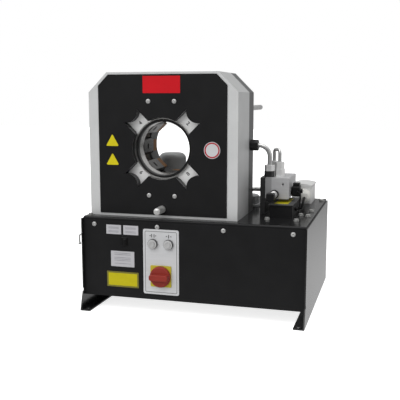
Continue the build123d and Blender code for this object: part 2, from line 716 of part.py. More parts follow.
def switch_handle():
    """Round rotary handle with a raised grip bar and its shaft."""
    back = CONTROL_FACE - SWITCH_PLATE - FIT
    front = back - HANDLE_DEPTH
    disc = turned_y(
        [
            (0, front), (HANDLE_R - HANDLE_EDGE, front), (HANDLE_R, front + HANDLE_EDGE),
            (HANDLE_R, back), (0, back),
        ],
        CONTROL_X, SWITCH_Z,
    )
    grip = block(
        CONTROL_X - GRIP_HALF_LENGTH, CONTROL_X + GRIP_HALF_LENGTH, front - GRIP_HEIGHT, front + CUT,
        SWITCH_Z - GRIP_HALF_WIDTH, SWITCH_Z + GRIP_HALF_WIDTH,
    )
    grip = fillet(grip.edges().filter_by(Axis.Y), GRIP_CORNER)
    grip = fillet(grip.faces().sort_by(Axis.Y)[0].edges(), GRIP_EDGE)
    return disc + grip + rod_y(SWITCH_SHAFT_R, back, FRONT + SHAFT_REACH, CONTROL_X, SWITCH_Z)


def contactor():
    """Motor contactor and relay on their mounting rail, fixed to the front of the tank."""
    face = TANK_FRONT - RAIL_DEPTH
    x0 = LEFT + TANK_LEFT + RAIL_IN
    rail = block(x0, x0 + RAIL_LENGTH, face, TANK_FRONT, RAIL_Z, RAIL_Z + RAIL_HEIGHT)
    mid = RAIL_Z + RAIL_HEIGHT / 2
    half = CONTACTOR_HIGH / 2
    x1 = x0 + CONTACTOR_WIDE / 2
    x2 = x1 + CONTACTOR_WIDE
    x3 = x2 + DEVICE_GAP
    body = block(x1, x2, face - CONTACTOR_DEEP, face, mid - half, mid + half)
    low = half - RELAY_SHRINK / 2
    relay_face = face - CONTACTOR_DEEP + RELAY_SHRINK
    relay = block(x3, x3 + CONTACTOR_WIDE, relay_face, face, mid - low, mid + low)
    return rail + body + relay


# --- head ------------------------------------------------------------------
def chamfered_slab(width, height, corner, z_low, y0, y1):
    """Upright slab over the bore axis whose two upper corners are cut at 45 degrees."""
    half = width / 2
    top = z_low + height
    outline = Polyline(
        (BORE_X - half, z_low),
        (BORE_X + half, z_low),
        (BORE_X + half, top - corner),
        (BORE_X + half - corner, top),
        (BORE_X - half + corner, top),
        (BORE_X - half, top - corner),
        close=True,
    )
    return Pos(0, y1, 0) * extrude(Plane.XZ * make_face(outline), amount=y1 - y0)


def diagonal_arm(arc_r, y0, y1):
    """One straight arm above the bore axis, hollowed at its end by an arc."""
    tip = WINDOW_ARC_AT - (arc_r ** 2 - WINDOW_HALF ** 2) ** 0.5
    arm = block(-WINDOW_HALF, WINDOW_HALF, y0, y1, 0, tip)
    return arm - rod_y(arc_r, y0 - CUT, y1 + CUT, 0, WINDOW_ARC_AT)


def mouth(y0, y1):
    """The round mouth with its four diagonal windows, as a cutting body."""
    cut = rod_y(MOUTH_R, y0, y1, BORE_X, BORE_Z)
    for arm in on_diagonals(diagonal_arm(WINDOW_ARC_R, y0, y1)):
        cut += arm
    return cut


def tie_places():
    """X and Z of the four tie bolts."""
    half = HEAD_WIDTH / 2 - TIE_IN
    return [(BORE_X + x, z) for x in (-half, half) for z in (DECK_TOP + TIE_UP, HEAD_TOP - TIE_DOWN)]


def cover_screw_places():
    """X and Z of the four cover screws."""
    return [(BORE_X + x, BORE_Z + z) for x in (-SCREW_X, SCREW_X) for z in (-SCREW_Z, SCREW_Z)]


def head_frame():
    """Box of the head: a front plate with the windows, and the round jaw chamber."""
    body = chamfered_slab(HEAD_WIDTH, HEAD_HEIGHT, HEAD_CHAMFER, DECK_TOP, HEAD_FRONT, BLOCK_FRONT)
    body -= rod_y(CHAMBER_R, CHAMBER_FRONT, BLOCK_FRONT + CUT, BORE_X, BORE_Z)
    body -= mouth(HEAD_FRONT - CUT, CHAMBER_FRONT + CUT)
    for boss in on_diagonals(rod_y(WINDOW_ARC_R, HEAD_FRONT + CUT, BOSS_REAR, 0, WINDOW_ARC_AT)):
        body += boss
    for x, z in tie_places():
        body -= rod_y(TIE_R + BOLT_GAP, BLOCK_FRONT - TIE_HOLE, BLOCK_FRONT + CUT, x, z)
    deep = HEAD_FRONT + COVER_SCREW_BITE - COVER_THICK + THREAD_SPARE
    for x, z in cover_screw_places():
        body -= rod_y(SCREW_R + BOLT_GAP, HEAD_FRONT - CUT, deep, x, z)
    pin_end = COVER_FRONT + FRONT_PIN_BITE + THREAD_SPARE
    return body - rod_y(FRONT_PIN_R + BOLT_GAP, HEAD_FRONT - CUT, pin_end, BORE_X, FRONT_PIN_Z)


def front_cover():
    """Black cover sheet on the front plate, cut out like the plate behind it."""
    y0 = COVER_FRONT - CUT
    y1 = HEAD_FRONT + CUT
    foot = DECK_TOP + COVER_FOOT
    sheet = chamfered_slab(COVER_WIDTH, COVER_HEIGHT, COVER_CHAMFER, foot, COVER_FRONT, HEAD_FRONT)
    sheet -= mouth(y0, y1)
    for x, z in cover_screw_places():
        sheet -= rod_y(SCREW_R + BOLT_GAP, y0, y1, x, z)
    return sheet - rod_y(FRONT_PIN_R + BOLT_GAP, y0, y1, BORE_X, FRONT_PIN_Z)


def button_screw(seat, x, z, length, r):
    """Button-head screw driven towards +Y, its head lying on the seat."""
    h = BUTTON_HEAD_H
    return turned_y(
        [
            (0, seat - h), (r * 0.55, seat - h), (r * 0.9, seat - h * 0.6), (r, seat),
            (SCREW_R, seat), (SCREW_R, seat + length), (0, seat + length),
        ],
        x, z,
    )


def button_screws():
    """Screws of the head cover and of the front panel."""
    screws = []
    for x, z in cover_screw_places():
        screws.append(button_screw(COVER_FRONT, x, z, COVER_SCREW_BITE, COVER_HEAD_R))
    for x in panel_screw_xs():
        screws.append(button_screw(FRONT, x, PANEL_SCREW_Z, PANEL_SCREW_BITE, PANEL_HEAD_R))
    return Compound(children=screws)


def guide_cross():
    """Ring with four arms that centres the entry sleeve between the bosses."""
    cross = rod_y(MOUTH_R + CROSS_RIM, CROSS_FRONT, CROSS_REAR, BORE_X, BORE_Z)
    for arm in on_diagonals(diagonal_arm(WINDOW_ARC_R + FIT, CROSS_FRONT, CROSS_REAR)):
        cross += arm
    return cross - rod_y(SLEEVE_OUT_R + RUN, CROSS_FRONT - CUT, CROSS_REAR + CUT, BORE_X, BORE_Z)


def sleeve_ring():
    """Entry sleeve with the rear flange that the jaws slide against."""
    flange = SLEEVE_REAR - GUIDE_THICK
    return turned_y(
        [
            (SLEEVE_R + SLEEVE_CHAMFER, CHAMBER_FRONT), (SLEEVE_OUT_R, CHAMBER_FRONT),
            (SLEEVE_OUT_R, flange), (GUIDE_R, flange), (GUIDE_R, SLEEVE_REAR), (SLEEVE_R, SLEEVE_REAR),
            (SLEEVE_R, CHAMBER_FRONT + SLEEVE_CHAMFER),
        ]
    )


def slope_r(y):
    """Radius of the slide's outer face at y, with the jaws open."""
    return SLIDE_REAR_R + (JAW_REAR - y) * SLOPE


def jaw():
    """One steel jaw above the axis, in the open position."""
    inner = JAW_OPEN_R
    outer = slope_r(JAW_FRONT)
    flank = JAW_GAP / 2 / cos(HALF_STEP)

    def half_width(r):
        return (r - JAW_STROKE) * tan(HALF_STEP) - flank

    wedge = Polyline(
        (-half_width(inner) + JAW_CHAMFER, inner),
        (half_width(inner) - JAW_CHAMFER, inner),
        (half_width(inner + JAW_CHAMFER), inner + JAW_CHAMFER),
        (half_width(outer), outer),
        (-half_width(outer), outer),
        (-half_width(inner + JAW_CHAMFER), inner + JAW_CHAMFER),
        close=True,
    )
    body = Pos(0, JAW_REAR, 0) * extrude(Plane.XZ * make_face(wedge), amount=JAW_LENGTH)
    drop = SLIDE_THICK * SLANT
    y0 = JAW_FRONT - CUT
    y1 = JAW_REAR + CUT
    side = Polyline(
        (y0, slope_r(y0) - drop), (y1, slope_r(y1) - drop), (y1, 2 * outer), (y0, 2 * outer), close=True
    )
    body -= Pos(-outer, 0, 0) * extrude(Plane.YZ * make_face(side), amount=2 * outer)
    return body - rod_z(PIN_HOLE_R, inner - CUT, inner + PIN_HOLE_DEEP, 0, JAW_FRONT + PIN_HOLE_AT)


def along_slope(half_width, y0, y1, low, high):
    """A bar that follows the slope, between two heights above its face."""
    side = Polyline(
        (y0, slope_r(y0) + low * SLANT),
        (y1, slope_r(y1) + low * SLANT),
        (y1, slope_r(y1) + high * SLANT),
        (y0, slope_r(y0) + high * SLANT),
        close=True,
    )
    return Pos(-half_width, 0, 0) * extrude(Plane.YZ * make_face(side), amount=2 * half_width)


def jaw_slide():
    """Bronze slide on the jaw's sloping back, with its T-key and rear tail."""
    slide = along_slope(KEY_HEAD / 2 + KEY_LEAD, KEY_FRONT, JAW_REAR, -SLIDE_THICK, 0)
    slide += along_slope(KEY_NECK / 2, KEY_FRONT, KEY_REAR, -CUT, KEY_STEP)
    slide += along_slope(KEY_HEAD / 2, KEY_FRONT, KEY_REAR, KEY_STEP, 2 * KEY_STEP)
    tail = block(-TAIL_HALF, TAIL_HALF, JAW_REAR, JAW_REAR + TAIL_LENGTH, JAW_OPEN_R, TAIL_TOP_R)
    return slide + tail


def key_slot():
    """T-slot in the press ring for the key of one slide."""
    front = RING_FRONT - SLIDE_THICK
    neck = along_slope(KEY_NECK / 2 + KEY_GAP, front, SLOT_REAR, -2 * CUT, KEY_STEP + KEY_GAP)
    head = along_slope(
        KEY_HEAD / 2 + KEY_GAP, front, SLOT_REAR, KEY_STEP - KEY_GAP, 2 * KEY_STEP + KEY_GAP
    )
    return neck + head


def slope_wedge():
    """What one slide's slope takes out of the press ring."""
    gap = SLIDE_GAP * SLANT
    y0 = RING_FRONT - CUT
    y1 = RING_REAR + CUT
    front_r = slope_r(y0) + gap
    rear_r = slope_r(JAW_REAR) + gap
    side = make_face(Polyline((y0, 0), (y0, front_r), (JAW_REAR, rear_r), (y1, rear_r), (y1, 0), close=True))
    reach = front_r + CUT
    half = tan(HALF_STEP) * reach
    sector = make_face(Polyline((0, 0), (half, reach), (-half, reach), close=True))
    sector = Pos(0, y1, 0) * extrude(Plane.XZ * sector, amount=y1 - y0)
    return sector & (Pos(-reach, 0, 0) * extrude(Plane.YZ * side, amount=2 * reach))


def seal_band(radius, depth, gap):
    """Square-section band near the piston's rear end, on its outer or inner wall."""
    inward = depth < 0
    wall = radius - RUN if inward else radius + RUN
    root = wall + depth + (gap if inward else -gap)
    y1 = PISTON_END - SEAL_BACK - gap
    y0 = PISTON_END - SEAL_BACK - SEAL + gap
    return turned_y([(wall, y0), (wall, y1), (root, y1), (root, y0)])


def press_ring():
    """Ring with eight inner slopes and T-slots, and the annular piston behind it."""
    shoulder = BLOCK_FRONT - FIT
    ring = turned_y(
        [
            (0, RING_FRONT), (RING_R - RING_EDGE, RING_FRONT), (RING_R, RING_FRONT + RING_EDGE),
            (RING_R, shoulder), (PISTON_R - RUN, shoulder), (PISTON_R - RUN, PISTON_END),
            (HUB_OUT_R + RUN, PISTON_END), (HUB_OUT_R + RUN, RING_REAR), (0, RING_REAR),
        ]
    )
    wedge = slope_wedge()
    slot = key_slot()
    for index in range(JAWS):
        ring -= around_bore(wedge, index)
        ring -= around_bore(slot, index)
    ring -= seal_band(PISTON_R, -SEAL, 0.0)
    return ring - seal_band(HUB_OUT_R, SEAL, 0.0)


def piston_seals():
    """Outer and inner seal of the annular piston."""
    return Compound(children=[seal_band(PISTON_R, -SEAL, RUN), seal_band(HUB_OUT_R, SEAL, RUN)])


def cylinder_block():
    """Thick rear block with the annular cylinder around the open hub."""
    body = chamfered_slab(HEAD_WIDTH, HEAD_HEIGHT, HEAD_CHAMFER, DECK_TOP, BLOCK_FRONT, BLOCK_REAR)
    y0 = BLOCK_FRONT - CUT
    y1 = BLOCK_REAR + CUT
    floor = BLOCK_REAR - CHAMBER_FLOOR
    body -= turned_y([(HUB_OUT_R, y0), (PISTON_R, y0), (PISTON_R, floor), (HUB_OUT_R, floor)])
    body -= rod_y(HUB_IN_R, y0, y1, BORE_X, BORE_Z)
    body -= rod_x(PORT_R, HEAD_RIGHT - PORT_DEEP, HEAD_RIGHT + CUT, PORT_Y, PORT_Z)
    body -= rod_y(REAR_PORT_R, BLOCK_REAR - REAR_PORT_DEEP, y1, REAR_PIPE_X, REAR_PIPE_Z)
    for x, z in tie_places():
        body -= rod_y(TIE_R + BOLT_GAP, y0, y1, x, z)
    deep = BLOCK_REAR - STOP_ROD_BITE - THREAD_SPARE
    return body - rod_y(STOP_ROD_R + BOLT_GAP, deep, y1, STOP_ROD_X, STOP_ROD_Z)


def depth_stop_rod():
    """Round rod screwed into the block's rear, with a rounded end."""
    y1 = BLOCK_REAR + STOP_ROD_LENGTH
    rod = rod_y(STOP_ROD_R, BLOCK_REAR - STOP_ROD_BITE, y1, STOP_ROD_X, STOP_ROD_Z)
    return fillet(rod.faces().sort_by(Axis.Y)[-1].edges(), STOP_ROD_END)


def front_pin():
    """Waisted pull knob low on the cover."""
    tip = COVER_FRONT - FRONT_PIN_LENGTH
    head = tip + KNOB_HEAD
    foot = COVER_FRONT - KNOB_R
    end = COVER_FRONT + FRONT_PIN_BITE
    crown = ThreePointArc((0, tip), (KNOB_R * 0.75, tip + 1.5), (KNOB_R, tip + 6))
    side = Line((KNOB_R, tip + 6), (KNOB_R, head))
    waist = ThreePointArc((KNOB_R, head), (KNOB_WAIST_R, (head + foot) / 2), (COLLAR_R, foot))
    shank = Polyline(
        (COLLAR_R, foot), (COLLAR_R, COVER_FRONT), (FRONT_PIN_R, COVER_FRONT), (FRONT_PIN_R, end),
        (0, end), (0, tip),
    )
    return Pos(BORE_X, 0, FRONT_PIN_Z) * revolve(make_face([crown, side, waist, shank]), Axis.Y, 360)


def tie_bolt(x, z):
    """Socket-head bolt driven towards -Y through the block."""
    bolt = rod_y(TIE_HEAD_R, BLOCK_REAR, BLOCK_REAR + TIE_HEAD_H, x, z)
    bolt += rod_y(TIE_R, BLOCK_FRONT - TIE_BITE, BLOCK_REAR, x, z)
    socket = extrude(RegularPolygon(TIE_HEAD_R * SOCKET_SHARE, 6), amount=SOCKET_DEEP)
    return bolt - Pos(x, BLOCK_REAR + TIE_HEAD_H + CUT, z) * Rot(90, 0, 0) * socket


def deck_bolt(x, y):
    """Hexagon bolt head on its washer, on the deck."""
    washer = rod_z(WASHER_R, DECK_TOP, DECK_TOP + WASHER_H, x, y)
    return washer + Pos(x, y, DECK_TOP + WASHER_H) * hex_nut(DECK_BOLT_HEX, DECK_BOLT_H)


def deck_bolt_places():
    """Bolts round the deck's edge and the feet of what stands on it."""
    return [
        (JUNCTION_X + 2, JUNCTION_Y - 48), (RIGHT - 46, JUNCTION_Y - 52), (RIGHT - 46, JUNCTION_Y + 49),
        (RIGHT - 22, JUNCTION_Y + 35), (RIGHT - 23, JUNCTION_Y + 129),
        (LEFT + 20, FRONT + 20), (LEFT + 20, REAR - 36),
    ]


def head_bolts():
    """Tie bolts through the block into the head, and the bolts and plug of the deck."""
    bolts = [tie_bolt(x, z) for x, z in tie_places()]
    bolts += [deck_bolt(x, y) for x, y in deck_bolt_places()]
    bolts.append(turned_z(
        [(0, DECK_TOP), (PLUG_R, DECK_TOP), (PLUG_R, DECK_TOP + PLUG_H - 2), (PLUG_R - 2, DECK_TOP + PLUG_H),
         (0, DECK_TOP + PLUG_H)],
        RIGHT - 17, REAR - 58,
    ))
    return Compound(children=bolts)


# --- motor, pump and filter ------------------------------------------------
def motor_housing():
    """Finned upright motor body with its flange and adapter, and the terminal box."""
    spigot = DECK_LOW - MOTOR_SPIGOT
    hole = MOTOR_SHAFT_R + SHAFT_GAP
    rim = MOTOR_LOW - MOTOR_FLANGE
    body = turned_z(
        [
            (hole, spigot), (MOTOR_SPIGOT_R, spigot), (MOTOR_SPIGOT_R, DECK_TOP), (MOTOR_FLANGE_R, DECK_TOP),
            (MOTOR_FLANGE_R, DECK_TOP + MOTOR_FLANGE), (MOTOR_WAIST_R, DECK_TOP + MOTOR_FLANGE + 6),
            (MOTOR_WAIST_R, rim - 2), (MOTOR_RIM_R, rim), (MOTOR_RIM_R, MOTOR_LOW), (MOTOR_R, MOTOR_LOW + 2),
            (MOTOR_R, MOTOR_HIGH), (MOTOR_R - 20, MOTOR_HIGH + 6), (hole, MOTOR_HIGH + 6),
        ],
        MOTOR_X, MOTOR_Y,
    )
    half = MOTOR_FIN_THICK / 2
    fin = block(MOTOR_R - 2, MOTOR_R + MOTOR_FIN, -half, half, MOTOR_LOW, MOTOR_HIGH - 4)
    for index in range(MOTOR_FINS):
        body += Pos(MOTOR_X, MOTOR_Y, 0) * Rot(0, 0, index * 360.0 / MOTOR_FINS) * fin
    wide = TERMINAL_WIDE / 2
    box_y = MOTOR_Y + MOTOR_R + MOTOR_FIN
    box_z = MOTOR_LOW + TERMINAL_UP
    terminal = block(
        MOTOR_X - wide, MOTOR_X + wide, box_y, box_y + TERMINAL_DEEP, box_z, box_z + TERMINAL_HIGH
    )
    return Compound(children=[body, fillet(terminal.edges().filter_by(Axis.Y), TERMINAL_CORNER)])


def fan_cowl():
    """Sheet cowl over the fan, with a ring of air slots in its top."""
    z0 = MOTOR_HIGH - COWL_LAP
    z1 = z0 + COWL_HEIGHT
    wall = COWL_WALL
    r = MOTOR_R + MOTOR_FIN + FIT + wall
    cowl = turned_z(
        [
            (r - wall, z0), (r, z0), (r, z1 - 14), (r - 4, z1 - 4), (r - 14, z1), (0, z1),
            (0, z1 - wall), (r - 15, z1 - wall), (r - wall - 4, z1 - wall - 4), (r - wall, z1 - 15),
        ],
        MOTOR_X, MOTOR_Y,
    )
    slot = block(COWL_SLOT_IN, COWL_SLOT_OUT, -COWL_SLOT_HALF, COWL_SLOT_HALF, z1 - wall - CUT, z1 + CUT)
    for index in range(COWL_SLOTS):
        cowl -= Pos(MOTOR_X, MOTOR_Y, 0) * Rot(0, 0, index * 360.0 / COWL_SLOTS) * slot
    return cowl


def motor_rotor():
    """Shaft with the fan on top and the coupling half at the pump end."""
    z_fan = MOTOR_HIGH + FAN_RISE
    low = DECK_LOW - COUPLING_H
    rotor = rod_z(MOTOR_SHAFT_R, low, z_fan + FAN_BLADE_H, MOTOR_X, MOTOR_Y)
    rotor += rod_z(FAN_DISC_R, z_fan, z_fan + FAN_BLADE_THICK, MOTOR_X, MOTOR_Y)
    half = FAN_BLADE_THICK / 2
    blade = block(MOTOR_SHAFT_R, FAN_BLADE_R, -half, half, z_fan + 2, z_fan + 2 + FAN_BLADE_H)
    for index in range(FAN_BLADES):
        rotor += Pos(MOTOR_X, MOTOR_Y, 0) * Rot(0, 0, index * 360.0 / FAN_BLADES) * blade
    return rotor + rod_z(COUPLING_R, low - 12, low + COUPLING_H - 12, MOTOR_X, MOTOR_Y)


def gear_pump():
    """Gear pump on a bracket tube under the deck, with its suction strainer."""
    z_pump = DECK_LOW - PUMP_TUBE
    bore = MOTOR_SPIGOT_R + SHAFT_SPARE
    tube = turned_z(
        [
            (bore, DECK_LOW), (PUMP_RIM_R, DECK_LOW), (PUMP_RIM_R, DECK_LOW - PUMP_PLATE),
            (PUMP_TUBE_R, DECK_LOW - PUMP_PLATE), (PUMP_TUBE_R, z_pump), (PUMP_BORE_R, z_pump),
            (PUMP_BORE_R, z_pump + PUMP_PLATE), (bore, z_pump + PUMP_PLATE),
        ],
        MOTOR_X, MOTOR_Y,
    )
    body = block(
        MOTOR_X - PUMP_HALF_X, MOTOR_X + PUMP_HALF_X, MOTOR_Y - PUMP_HALF_Y, MOTOR_Y + PUMP_HALF_Y,
        z_pump - PUMP_HEIGHT, z_pump,
    )
    body = fillet(body.edges().filter_by(Axis.Z), PUMP_CORNER)
    x0 = MOTOR_X + PUMP_HALF_X - CUT
    return tube + body + rod_x(STRAINER_R, x0, x0 + STRAINER_LENGTH, MOTOR_Y, z_pump - STRAINER_DROP)


def filter_base():
    """Cast filter head on the deck, with its return port through the deck."""
    z0 = DECK_TOP
    top = z0 + FILTER_HEAD
    head = turned_z(
        [
            (0, DECK_LOW - 4), (FILTER_PORT_R, DECK_LOW - 4), (FILTER_PORT_R, z0), (FILTER_FLANGE_R, z0),
            (FILTER_FLANGE_R, z0 + 8), (FILTER_WAIST_R, z0 + 14), (FILTER_WAIST_R, top - 14),
            (FILTER_RIM_R, top - 8), (FILTER_RIM_R, top), (0, top),
        ],
        FILTER_X, FILTER_Y,
    )
    return head + rod_x(FILTER_SPOUT_R, FILTER_X, FILTER_X + FILTER_SPOUT, FILTER_Y, z0 + FILTER_HEAD / 2)


def return_filter():
    """Spin-on filter canister with a domed top."""
    z0 = DECK_TOP + FILTER_HEAD
    z1 = z0 + FILTER_HEIGHT
    r = FILTER_R
    wall = Line((r, z0), (r, z1 - FILTER_DOME_DROP))
    dome = JernArc((r, z1 - FILTER_DOME_DROP), (0, 1), FILTER_DOME_R, FILTER_DOME_ANGLE)
    cap = Line(dome @ 1, (0, z1))
    profile = make_face([wall, dome, cap, Line((0, z1), (0, z0)), Line((0, z0), (r, z0))])
    return Pos(FILTER_X, FILTER_Y, 0) * Rot(90, 0, 0) * revolve(profile, Axis.Y, 360)


def filler_cap():
    """Screw-on filler and breather cap over its neck, with grip ribs."""
    z0 = DECK_TOP + FIT
    top = DECK_TOP + FILLER_HEIGHT
    flange = DECK_TOP + FILLER_FLANGE
    cap = turned_z(
        [
            (0, DECK_LOW), (FILLER_NECK_R, DECK_LOW), (FILLER_NECK_R, z0), (FILLER_FLANGE_R, z0),
            (FILLER_FLANGE_R, flange), (FILLER_WAIST_R, flange + 2), (FILLER_CAP_R, flange + 5),
            (FILLER_CAP_R, top - FILLER_EDGE), (FILLER_CAP_R - FILLER_EDGE, top), (0, top),
        ],
        FILLER_X, FILLER_Y,
    )
    rib = rod_z(FILLER_GRIP_R, flange + 5, top - FILLER_EDGE, FILLER_CAP_R, 0)
    for index in range(FILLER_GRIPS):
        cap += Pos(FILLER_X, FILLER_Y, 0) * Rot(0, 0, index * 360.0 / FILLER_GRIPS) * rib
    return cap


# --- hydraulics on the deck ------------------------------------------------
def manifold_block():
    """Drilled valve manifold with its ports in the top and front."""
    x1 = MANIFOLD_X + MANIFOLD_WIDTH
    y0 = MANIFOLD_FRONT - CUT
    body = block(MANIFOLD_X, x1, MANIFOLD_FRONT, MANIFOLD_REAR, MANIFOLD_BOTTOM, MANIFOLD_TOP)
    body = chamfer(body.edges().filter_by(Axis.Y), MANIFOLD_EDGE)
    body -= rod_y(PLUG_HOLE_R, y0, y0 + 13, x1 - PLUG_HOLE_IN, MANIFOLD_TOP - PLUG_HOLE_DOWN)
    deep = MANIFOLD_FRONT + RELIEF_REACH + THREAD_SPARE
    return body - rod_y(RELIEF_THREAD_R, y0, deep, RELIEF_X, RELIEF_Z)


def manifold_bracket():
    """Upright black plate that carries the manifold."""
    plate = block(BRACKET_X, MANIFOLD_X, MANIFOLD_FRONT, MANIFOLD_REAR, DECK_TOP, MANIFOLD_TOP)
    hole = REAR_PIPE_R + REAR_PIPE_SPARE
    return plate - rod_x(hole, BRACKET_X - CUT, MANIFOLD_X + CUT, REAR_PIPE_Y, REAR_PIPE_Z)


def tube_along(points, bend, radius):
    """Round tube along straight runs joined by tangent arcs."""
    path = FilletPolyline(*points, radius=bend)
    start = Plane(path @ 0, z_dir=path % 0)
    return sweep(start * Circle(radius), path=path)


def pressure_pipe():
    """Steel tube from the cylinder block down to the manifold."""
    return tube_along(
        [
            (HEAD_RIGHT + PIPE_SEAT, PORT_Y, PORT_Z), (PIPE_DROP_X, PORT_Y, PORT_Z),
            (PIPE_DROP_X, PORT_Y, MANIFOLD_TOP + PIPE_SEAT),
        ],
        PIPE_BEND, PIPE_R,
    )


def jumper_ends():
    """X and Y of the two ports that the jumper pipe joins."""
    return [(MANIFOLD_X + x, MANIFOLD_FRONT + y) for x, y in (JUMPER_FRONT, JUMPER_REAR)]


def jumper_pipe():
    """Steel tube bent into a tall arch between two manifold ports."""
    low = MANIFOLD_TOP + PIPE_SEAT
    high = MANIFOLD_TOP + JUMPER_RISE
    a, b = jumper_ends()
    return tube_along([(*a, low), (*a, high), (*b, high), (*b, low)], JUMPER_BEND, JUMPER_R)


def rear_pipe():
    """Steel tube from the block's rear port across to the manifold."""
    return tube_along(
        [
            (REAR_PIPE_X, BLOCK_REAR + PIPE_SEAT, REAR_PIPE_Z), (REAR_PIPE_X, REAR_PIPE_Y, REAR_PIPE_Z),
            (MANIFOLD_X - FIT, REAR_PIPE_Y, REAR_PIPE_Z),
        ],
        REAR_PIPE_BEND, REAR_PIPE_R,
    )


def upright_fitting(x, y, adapter_hex, adapter, nut_hex, nut, tube_r):
    """Screwed adapter with its cutting-ring nut on the manifold's top."""
    fitting = hex_nut(adapter_hex, adapter) + Pos(0, 0, adapter) * hex_nut(nut_hex, nut)
    bore = rod_z(tube_r + RUN, PIPE_SEAT, adapter + nut + CUT, 0, 0)
    return Pos(x, y, MANIFOLD_TOP) * (fitting - bore)


def pipe_fittings():
    """Cutting-ring nuts and screwed adapters at the ends of the tubes."""
    side = Pos(HEAD_RIGHT, PORT_Y, PORT_Z) * Rot(0, 90, 0) * hex_nut(ADAPTER_HEX, ADAPTER_LENGTH)
    side += rod_x(PORT_R - BOLT_GAP, HEAD_RIGHT - PORT_DEEP + THREAD_SPARE, HEAD_RIGHT, PORT_Y, PORT_Z)
    side -= rod_x(PIPE_R + RUN, HEAD_RIGHT + PIPE_SEAT, HEAD_RIGHT + ADAPTER_LENGTH + CUT, PORT_Y, PORT_Z)
    fittings = [side]
    fittings.append(
        upright_fitting(PIPE_DROP_X, PORT_Y, DROP_HEX, DROP_ADAPTER, DROP_NUT_HEX, DROP_NUT, PIPE_R)
    )
    for x, y in jumper_ends():
        fittings.append(
            upright_fitting(x, y, JUMPER_HEX, JUMPER_ADAPTER, JUMPER_NUT_HEX, JUMPER_NUT, JUMPER_R)
        )
    nut_end = BLOCK_REAR + REAR_NUT
    rear = Pos(REAR_PIPE_X, nut_end, REAR_PIPE_Z) * Rot(90, 0, 0) * hex_nut(REAR_NUT_HEX, REAR_NUT)
    thread = BLOCK_REAR - REAR_PORT_DEEP + THREAD_SPARE
    rear += rod_y(REAR_PORT_R - BOLT_GAP, thread, BLOCK_REAR, REAR_PIPE_X, REAR_PIPE_Z)
    rear -= rod_y(REAR_PIPE_R + RUN, BLOCK_REAR + PIPE_SEAT, nut_end + CUT, REAR_PIPE_X, REAR_PIPE_Z)
    return Compound(children=[*fittings, rear])


def relief_valve():
    """Pressure valve cartridge in the manifold's front, with its ribbed collar."""
    y0 = MANIFOLD_FRONT
    end = y0 - RELIEF_LENGTH
    points = [(0, end), (RELIEF_STEM_R, end)]
    for index in range(RELIEF_RIBS):
        y = end + RELIEF_RIB_PITCH * index + 2
        half = RELIEF_RIB_PITCH / 2
        points += [(RELIEF_GROOVE_R, y), (RELIEF_RIB_R, y + half / 2), (RELIEF_RIB_R, y + half)]
        points.append((RELIEF_GROOVE_R, y + 1.5 * half))
    points += [
        (RELIEF_GROOVE_R, y0 - RELIEF_COLLAR), (RELIEF_COLLAR_R, y0 - RELIEF_COLLAR), (RELIEF_COLLAR_R, y0),
        (RELIEF_THREAD_R - BOLT_GAP, y0), (RELIEF_THREAD_R - BOLT_GAP, y0 + RELIEF_REACH),
        (0, y0 + RELIEF_REACH),
    ]
    return turned_y(points, RELIEF_X, RELIEF_Z)


def relief_knob():
    """Squared black cap that sets the crimping pressure."""
    y1 = MANIFOLD_FRONT - RELIEF_LENGTH - FIT
    half = RELIEF_KNOB / 2
    cap = block(
        RELIEF_X - half, RELIEF_X + half, y1 - RELIEF_KNOB, y1, RELIEF_Z - half, RELIEF_Z + half
    )
    cap = fillet(cap.edges().filter_by(Axis.Y), RELIEF_KNOB_CORNER)
    return fillet(cap.faces().sort_by(Axis.Y)[0].edges(), RELIEF_KNOB_EDGE)


def solenoid_coil():
    """Solenoid valve on the manifold's right face, with its plug and its lead."""
    x0 = COIL_X
    x1 = x0 + COIL_DEEP
    coil = block(
        x0, x1, COIL_Y - COIL_HALF_Y, COIL_Y + COIL_HALF_Y, COIL_Z - COIL_HALF_Z, COIL_Z + COIL_HALF_Z
    )
    coil = fillet(coil.edges().filter_by(Axis.X), COIL_CORNER)
    coil += rod_x(COIL_STEM_R, x0 - COIL_OUT, x0 + CUT, COIL_Y, COIL_Z)
    coil += rod_x(COIL_NUT_R, x1 - CUT, x1 + COIL_NUT, COIL_Y, COIL_Z)
    top = COIL_Z + COIL_HALF_Z
    plug = block(
        x0 + PLUG_IN, x1 - PLUG_IN, COIL_Y - PLUG_HALF_Y, COIL_Y + PLUG_HALF_Y, top - CUT, top + PLUG_HEIGHT
    )
    side = JUNCTION_X + JUNCTION_WIDTH
    gland_z = DECK_TOP + JUNCTION_HEIGHT / 2
    start = COIL_Y - COIL_HALF_Y
    loop = COIL_Y - COIL_HALF_Y - 2 * LEAD_BEND
    x_mid = x1 - COIL_DEEP / 4
    x_out = side + GLAND + LEAD_OUT
    lead = tube_along(
        [
            (x_mid, start, COIL_Z), (x_mid, loop, COIL_Z), (x_out, loop, COIL_Z),
            (x_out, loop, gland_z), (side + GLAND, loop, gland_z),
        ],
        LEAD_BEND, LEAD_R,
    )
    gland = rod_x(GLAND_R, side, side + GLAND, loop, gland_z)
    return Compound(children=[coil + plug, lead + gland])


# --- electrics on the deck -------------------------------------------------
def junction_box():
    """Low terminal box with a lipped lid."""
    x0 = JUNCTION_X
    x1 = x0 + JUNCTION_WIDTH
    y1 = JUNCTION_Y + JUNCTION_DEPTH
    lip = JUNCTION_LIP
    box = block(x0, x1, JUNCTION_Y, y1, DECK_TOP, JUNCTION_TOP)
    lid = block(x0 - lip, x1 + lip, JUNCTION_Y - lip, y1 + lip, JUNCTION_TOP, JUNCTION_TOP + JUNCTION_LID)
    lid = fillet(lid.edges().filter_by(Axis.Z), JUNCTION_CORNER)
    return fillet(box.edges().filter_by(Axis.Z), JUNCTION_CORNER) + lid


